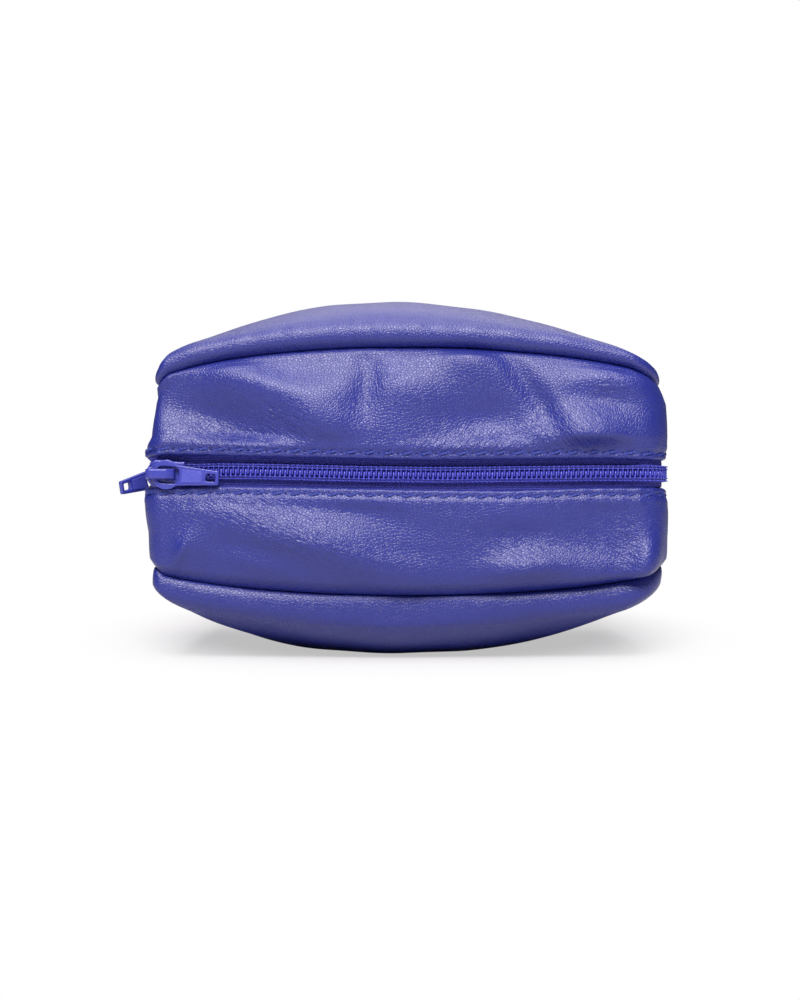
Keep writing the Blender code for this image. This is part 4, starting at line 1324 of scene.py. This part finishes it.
hole_tree, hole_names = row_tree("needle_holes", ("Pitch", "Hole radius", "Flatness"), needle_hole)
STITCHES = {
    "Pitch": STITCH_PITCH,
    "Length": 3.5 * MM,
    "Spread": 0.27 * MM,
    "Slant": 0.85 * MM,
    "Rise": 0.78 * MM,
    "Sink": -0.3 * MM,
    "Thread radius": 0.125 * MM,
    "Finish": top_thread,
}
HOLES = {"Pitch": STITCH_PITCH, "Hole radius": 0.36 * MM, "Flatness": 0.35, "Finish": shaded_hole()}


def stitch_row(side, sink, first_share):
    """Places and outward directions along the topstitch row, a little under the leather's face."""
    run = band_run(0)[:7]
    start = run[0][2] / 3
    end = sum(piece[2] for piece in run) - run[6][2] / 3
    to_middle = sum(piece[2] for piece in run[:3]) + HALF_LENGTH - LEFT_FRONT_CORNER
    first = to_middle + STITCH_PITCH * (math.ceil((start - to_middle) / STITCH_PITCH) + first_share)
    height = HALF_WINDOW + STITCH_FROM_FOLD
    places = []
    outwards = []
    for step in range(int((end - first) / STITCH_PITCH) * ROW_STEPS + 1):
        distance = first + step * STITCH_PITCH / ROW_STEPS
        point, outward = along_run(run, distance)
        inset = band_inset(height, point.x, side) + sink
        level = side * height + float(fold_bow(distance - to_middle, side)) * ROW_BOW_SHARE
        places.append((point.x - inset * outward.x, point.y - inset * outward.y, ZIP_HEIGHT + level))
        outwards.append((outward.x, outward.y, 0.0))
    return places, outwards


def make_topstitching(half, side, body):
    """A row of stitches, and the painted shade of the needle holes between them."""
    places, outwards = stitch_row(side, ROW_SINK, 0.5)
    row = add_row(f"{half}_topstitches", places, outwards, stitch_tree, stitch_names, STITCHES)
    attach(row, body)
    places, outwards = stitch_row(side, HOLE_SINK, 0.0)
    holes = add_row(f"{half}_needle_holes", places, outwards, hole_tree, hole_names, HOLES)
    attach(holes, body)


make_topstitching("lower", DOWN, "base")
make_topstitching("upper", UP, "lid")

# Sliders and stops.
# Zinc castings, tumbled so that their edges are round, and spray painted the leather's blue. The
# stops are crimped from the same painted metal at the ends of the chain.
CAST_ROUND = 0.15 * MM
BRIDGE_ROUND = 0.5 * MM
WING_FACE = 0.8 * MM
MERGED = 0.002 * MM
FLAT_WITHIN = math.radians(2)
ROUNDED_FROM = math.radians(25)
FACES_OUT = 0.3
ORANGE_PEEL = 0.5 * MM
CAST_CLOUD = 2.5 * MM
PAINT_BLUE = "#3940A4"
PAINT_SHADE = "#333996"
BLASTED_BLUE = "#484FB6"


def sprayed_zinc(title, light, dark, roughness, dimple):
    """Cast zinc under a coat of satin paint: even colour, a slight orange peel and soft highlights."""
    made, tree, shader = new_finish(title)
    place = add_node(tree, "ShaderNodeTexCoord").outputs["Object"]
    peel = add_node(tree, "ShaderNodeTexNoise", {"Vector": place, "Scale": 1 / ORANGE_PEEL, "Detail": 3.0})
    cast = add_node(tree, "ShaderNodeTexNoise", {"Vector": place, "Scale": 1 / CAST_CLOUD})
    shade_by(tree, shader, cast.outputs["Fac"], dark, light, peel.outputs["Fac"], dimple)
    feed(tree, shader, {"Roughness": roughness, "Coat Weight": 0.25, "Coat Roughness": 0.2})
    return made


slider_paint = sprayed_zinc("satin_paint_on_cast_zinc", PAINT_BLUE, PAINT_SHADE, 0.36, 0.03 * MM)
rough_paint = sprayed_zinc("satin_paint_on_blasted_zinc", BLASTED_BLUE, PAINT_BLUE, 0.55, 0.16 * MM)


def merged_copy(node):
    """A CAD node's mesh for editing, with its doubles merged and its flat faces whole."""
    bm = bmesh.new()
    bm.from_mesh(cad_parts[node].data)
    bmesh.ops.remove_doubles(bm, verts=bm.verts, dist=MERGED)
    bmesh.ops.dissolve_limit(bm, angle_limit=FLAT_WITHIN, verts=bm.verts, edges=bm.edges)
    return bm


def shown_mesh(bm, title, finish):
    """A smooth mesh from what was edited, with its material."""
    mesh = bpy.data.meshes.new(title)
    bm.to_mesh(mesh)
    bm.free()
    mesh.materials.append(finish)
    mesh.shade_smooth()
    return mesh


def make_slider_body(title, node, body, outward, face):
    """The slider's casting with the edges rounded by tumbling, and more so on the bridge's back."""
    bm = merged_copy(node)
    bm.normal_update()
    rounding = bm.edges.layers.float.new("bevel_weight_edge")
    for edge in bm.edges:
        if edge.is_manifold and edge.calc_face_angle() > ROUNDED_FROM:
            raised = min(vert.co.dot(outward) for vert in edge.verts) > face
            on_back = max(side.normal.dot(outward) for side in edge.link_faces) > FACES_OUT
            edge[rounding] = 1.0 if raised and on_back else CAST_ROUND / BRIDGE_ROUND
    made = add_object(title, shown_mesh(bm, title, slider_paint))
    tumbled = made.modifiers.new("tumbled_edges", "BEVEL")
    tumbled.width = BRIDGE_ROUND
    tumbled.segments = 4
    tumbled.limit_method = "WEIGHT"
    tumbled.use_clamp_overlap = False
    tumbled.harden_normals = True
    settle(made)
    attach(made, body)
    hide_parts(node)


for end, outward, reach in (("front", (0, -1, 0), HALF_DEPTH), ("end", (-1, 0, 0), HALF_LENGTH)):
    names = (f"{end}_slider_casting", f"{end}_slider_body", f"{end}_slider")
    make_slider_body(*names, Vector(outward), reach - WING_FACE)
for half in ("lower", "upper"):
    for hand in ("left", "right"):
        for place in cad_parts[f"{half}_{hand}_stop"].material_slots:
            place.material = slider_paint

# Slider pulls.
# Flat zinc castings: a round head with an eye that turns on the slider's bridge, and a tab that
# narrows to a square tip with a hole. A blasted plate stands a hair proud along the tab.
PULL_LENGTH = 16.0 * MM
PULL_HEAD = 7.0 * MM
PULL_BAR = 1.2 * MM
PULL_NECK_WIDTH = 4.9 * MM
PULL_TIP_WIDTH = 3.3 * MM
PULL_THICKNESS = 1.1 * MM
PULL_ROUND = 0.22 * MM
TIP_ROUND = 0.4 * MM
PLATE_RISE = 0.16 * MM
HEAD_STEPS = 44
CORNER_STEPS = 6
SHARP_FROM = math.radians(50)

# Start from the pin, length, width, corner radius, and the width at the far end where it differs.
EYE = (0.7 * MM, 5.3 * MM, 4.1 * MM, 1.5 * MM)
TIP_HOLE = (12.3 * MM, 2.3 * MM, 1.8 * MM, 0.45 * MM)
PLATE = (6.6 * MM, 4.9 * MM, 3.2 * MM, TIP_ROUND, 2.7 * MM)
FRONT_PULL_DROOP = math.radians(4)
END_PULL_SWING = math.radians(148)
END_PULL_DROOP = math.radians(12)
FRONT_PIN = Vector((-60.1, -42.74, 45.2)) * MM
END_PIN = Vector((-64.04, -12.0, 45.2)) * MM


def rounded(corners, radius):
    """Outline through corners, each replaced by an arc that starts a radius from it."""
    outline = []
    for k, corner in enumerate(corners):
        before = (corners[k - 1] - corner).normalized() * radius
        after = (corners[(k + 1) % len(corners)] - corner).normalized() * radius
        for step in range(CORNER_STEPS + 1):
            t = step / CORNER_STEPS
            outline.append(corner + before * (1 - t) ** 2 + after * t**2)
    return outline


def oblong(start, length, width, radius, far_width=None):
    """Outline of an oblong along the pull, narrower at its far end where that is given."""
    near = width / 2
    far = (far_width or width) / 2
    corners = [(start, -near), (start + length, -far), (start + length, far), (start, near)]
    return rounded([Vector(corner) for corner in corners], radius)


def pull_outline():
    """Round head, straight sides that narrow, and a square tip with small round corners."""
    radius = PULL_HEAD / 2
    centre = radius - PULL_BAR / 2
    neck_angle = math.asin(PULL_NECK_WIDTH / PULL_HEAD)
    outline = []
    for step in range(HEAD_STEPS + 1):
        angle = neck_angle + (2 * math.pi - 2 * neck_angle) * step / HEAD_STEPS
        outline.append(Vector((centre + radius * math.cos(angle), radius * math.sin(angle))))
    tip = PULL_LENGTH - PULL_BAR / 2
    half = PULL_TIP_WIDTH / 2
    neck = Vector((centre + radius * math.cos(neck_angle), PULL_NECK_WIDTH / 2))
    corners = rounded([outline[-1], Vector((tip, -half)), Vector((tip, half)), neck], TIP_ROUND)
    return outline + corners[CORNER_STEPS + 1 : 3 * (CORNER_STEPS + 1)]


def close_up(mesh):
    """Merge a swept mesh's doubles and turn its faces outwards, smooth but for its sharp edges."""
    bm = bmesh.new()
    bm.from_mesh(mesh)
    bmesh.ops.remove_doubles(bm, verts=bm.verts, dist=MERGED)
    bmesh.ops.recalc_face_normals(bm, faces=bm.faces)
    bm.to_mesh(mesh)
    bm.free()
    mesh.shade_smooth()
    mesh.set_sharp_from_angle(angle=SHARP_FROM)


def flat_casting(title, outlines, thickness, edge, place, finish):
    """Flat casting with rounded edges from an outline and its holes, laid in place."""
    cast = {"dimensions": "2D", "fill_mode": "BOTH", "extrude": thickness / 2 - edge, "offset": -edge}
    mesh = swept(title, outlines, closed=True, **cast, bevel_depth=edge, bevel_resolution=3)
    mesh.transform(Matrix.Rotation(QUARTER_TURN, 4, "X"))
    close_up(mesh)
    mesh.transform(place)
    mesh.materials.append(finish)
    return add_object(title, mesh)


def make_pull(half, place, body, node):
    """The pull, and the plate that stands out of its two faces."""
    outlines = [pull_outline(), oblong(*EYE), oblong(*TIP_HOLE)]
    title = f"{half}_pull_casting"
    pull = flat_casting(title, outlines, PULL_THICKNESS, PULL_ROUND, place, slider_paint)
    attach(pull, body)
    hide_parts(node)
    raised = PULL_THICKNESS + 2 * PLATE_RISE
    plate = flat_casting(f"{half}_pull_plate", [oblong(*PLATE)], raised, PLATE_RISE / 2, place, rough_paint)
    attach(plate, body)


end_frame = Matrix(((0, 1, 0), (1, 0, 0), (0, 0, -1))).to_4x4()
droop = Matrix.Rotation(FRONT_PULL_DROOP, 4, "Y")
make_pull("front", Matrix.Translation(FRONT_PIN) @ droop, "front_pull", "front_slider_pull")
swing = Matrix.Rotation(-END_PULL_SWING, 4, "Z") @ Matrix.Rotation(-END_PULL_DROOP, 4, "Y")
make_pull("end", Matrix.Translation(END_PIN) @ end_frame @ swing, "end_pull", "end_slider_pull")

# Key tab and split ring.
# Inside at the back, a short loop of the calf leather is sewn to the wall and holds a split ring
# wound from two turns of nickel-plated steel wire.
RING_RADIUS = 9.0 * MM
RING_WIRE = 1.2 * MM
RING_TURNS = 2
RING_POINTS = 64
RING_PIN = Vector((0, 32.5, 36.0)) * MM
TAB_ROUND = 0.25 * MM
HAZE = 0.8 * MM
STEEL = "#C9CACC"


def plated_steel():
    """Nickel plate on drawn wire: a mirror with fine lengthwise haze."""
    made, tree, shader = new_finish("nickel_plated_steel_wire")
    place = add_node(tree, "ShaderNodeTexCoord").outputs["Object"]
    haze = add_node(tree, "ShaderNodeTexNoise", {"Vector": place, "Scale": 1 / HAZE, "Detail": 4.0})
    gloss = add_node(
        tree, "ShaderNodeMapRange", {"Value": haze.outputs["Fac"], "To Min": 0.12, "To Max": 0.32}
    )
    feed(tree, shader, {"Base Color": linear(STEEL), "Roughness": gloss.outputs["Result"], "Metallic": 1.0})
    return made


def make_key_ring():
    """Two turns of wire, side by side."""
    pitch = RING_WIRE + LAYER_GAP
    wire = []
    for step in range(RING_TURNS * RING_POINTS + 1):
        angle = 2 * math.pi * step / RING_POINTS
        x = RING_RADIUS * math.sin(angle)
        y = pitch * (step / RING_POINTS - RING_TURNS / 2)
        z = -RING_RADIUS - RING_RADIUS * math.cos(angle)
        wire.append(RING_PIN + Vector((x, y, z)))
    drawn = {"dimensions": "3D", "bevel_depth": RING_WIRE / 2, "bevel_resolution": 4, "use_fill_caps": True}
    mesh = swept("split_ring", [wire], **drawn)
    close_up(mesh)
    mesh.materials.append(plated_steel())
    ring = add_object("split_ring", mesh)
    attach(ring, "ring")
    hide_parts("key_ring")


def make_key_tab():
    """The tab's solid with its cut edges softened."""
    mesh = shown_mesh(merged_copy("key_tab"), "key_tab_loop", leather)
    pattern = mesh.uv_layers.new(name="flat_mm")
    for loop in mesh.loops:
        at = mesh.vertices[loop.vertex_index].co / MM
        pattern.data[loop.index].uv = (at.x, at.z + at.y)
    tab = add_object("key_tab_loop", mesh)
    soft = tab.modifiers.new("soft_edges", "BEVEL")
    soft.width = TAB_ROUND
    soft.segments = 3
    soft.limit_method = "ANGLE"
    soft.angle_limit = SHARP_FROM
    soft.harden_normals = True
    settle(tab)
    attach(tab, "base")
    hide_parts("key_tab")


make_key_ring()
make_key_tab()

# Table, light and camera.
# The pouch lies on a white matt table in a dim white room. Four softboxes arch over it, from a bright
# one above the front to a dim one behind. The camera looks level at the front, just under the zip.
TABLE_SIZE = 6.0
TABLE_WHITE = "#CECED2"
SHADOW_CENTRE = (0.0, 0.045, 0.0)
SHADOW_REACH = (0.105, 0.125, 1.0)
FADE_START = 0.55
SHADOW_LIFT = 0.5
ROOM_LIGHT = 0.10
WARM = (1.0, 0.94, 0.93)
LIT_POINT = Vector((0, 0, 0.05))
CAMERA_PLACE = (-1.7 * MM, -342.0 * MM, 39.0 * MM)

# Name, place, width and length in metres, and brightness, where a face of 1 is paper white.
SOFTBOXES = (
    ("key_softbox", (-0.05, -0.68, 0.70), 0.40, 0.30, 31.0),
    ("top_softbox", (0.00, -0.26, 0.98), 0.80, 0.66, 3.0),
    ("middle_softbox", (0.00, 0.26, 0.98), 0.80, 0.40, 2.2),
    ("rear_softbox", (0.03, 0.72, 0.78), 0.80, 0.45, 1.6),
)


def seen(tree):
    """1 for what the camera sees straight or through something clear, else 0."""
    path = add_node(tree, "ShaderNodeLightPath").outputs
    rays = {0: path["Is Camera Ray"], 1: path["Is Transmission Ray"]}
    return add_node(tree, "ShaderNodeMath", rays, operation="MAXIMUM").outputs[0]


def white_table():
    """Matt white laminate: it takes the pouch's shadow and runs out to plain white."""
    made, tree, shader = new_finish("matt_white_laminate")
    place = add_node(tree, "ShaderNodeTexCoord").outputs["Object"]
    oval = add_node(
        tree,
        "ShaderNodeMapping",
        {"Vector": place, "Location": SHADOW_CENTRE, "Scale": SHADOW_REACH},
        vector_type="TEXTURE",
    )
    away = add_node(tree, "ShaderNodeVectorMath", {0: oval.outputs[0]}, operation="LENGTH")
    far = add_node(
        tree,
        "ShaderNodeMapRange",
        {"Value": away.outputs["Value"], "From Min": FADE_START, "From Max": 1.0, "To Min": SHADOW_LIFT},
        interpolation_type="SMOOTHSTEP",
    )
    factor = add_node(tree, "ShaderNodeMath", {0: far.outputs["Result"], 1: seen(tree)}, operation="MULTIPLY")
    plain = add_node(tree, "ShaderNodeEmission", {"Color": (1, 1, 1, 1), "Strength": 1.0})
    both = add_node(
        tree, "ShaderNodeMixShader", {0: factor.outputs[0], 1: shader.outputs[0], 2: plain.outputs[0]}
    )
    feed(tree, shader, {"Base Color": linear(TABLE_WHITE), "Roughness": 0.9})
    feed(tree, tree.nodes["Material Output"], {"Surface": both.outputs[0]})
    return made


bpy.ops.mesh.primitive_grid_add(x_subdivisions=8, y_subdivisions=8, size=TABLE_SIZE)
table = bpy.context.object
table.name = "table"
table.data.materials.append(white_table())

world = bpy.data.worlds.new("white_room")
bpy.context.scene.world = world
world.use_nodes = True
sky = world.node_tree
level = add_node(sky, "ShaderNodeMapRange", {"Value": seen(sky), "To Min": ROOM_LIGHT, "To Max": 1.0})
feed(sky, sky.nodes["Background"], {"Color": (1, 1, 1, 1), "Strength": level.outputs["Result"]})

for title, place, width, length, brightness in SOFTBOXES:
    lamp = bpy.data.lights.new(title, "AREA")
    lamp.shape = "RECTANGLE"
    lamp.size = width
    lamp.size_y = length
    lamp.energy = brightness * math.pi * width * length
    lamp.color = WARM
    softbox = add_object(title, lamp)
    softbox.location = place
    softbox.rotation_euler = (LIT_POINT - Vector(place)).to_track_quat("-Z", "Y").to_euler()

camera_data = bpy.data.cameras.new("camera")
camera_data.sensor_fit = "VERTICAL"
camera_data.sensor_height = 36.0
camera_data.lens = 45.36
camera_data.clip_start = 0.01
camera = add_object("camera", camera_data)
camera.location = CAMERA_PLACE
camera.rotation_euler = (QUARTER_TURN, 0, 0)
bpy.context.scene.camera = camera
bpy.context.scene.view_settings.view_transform = "Standard"
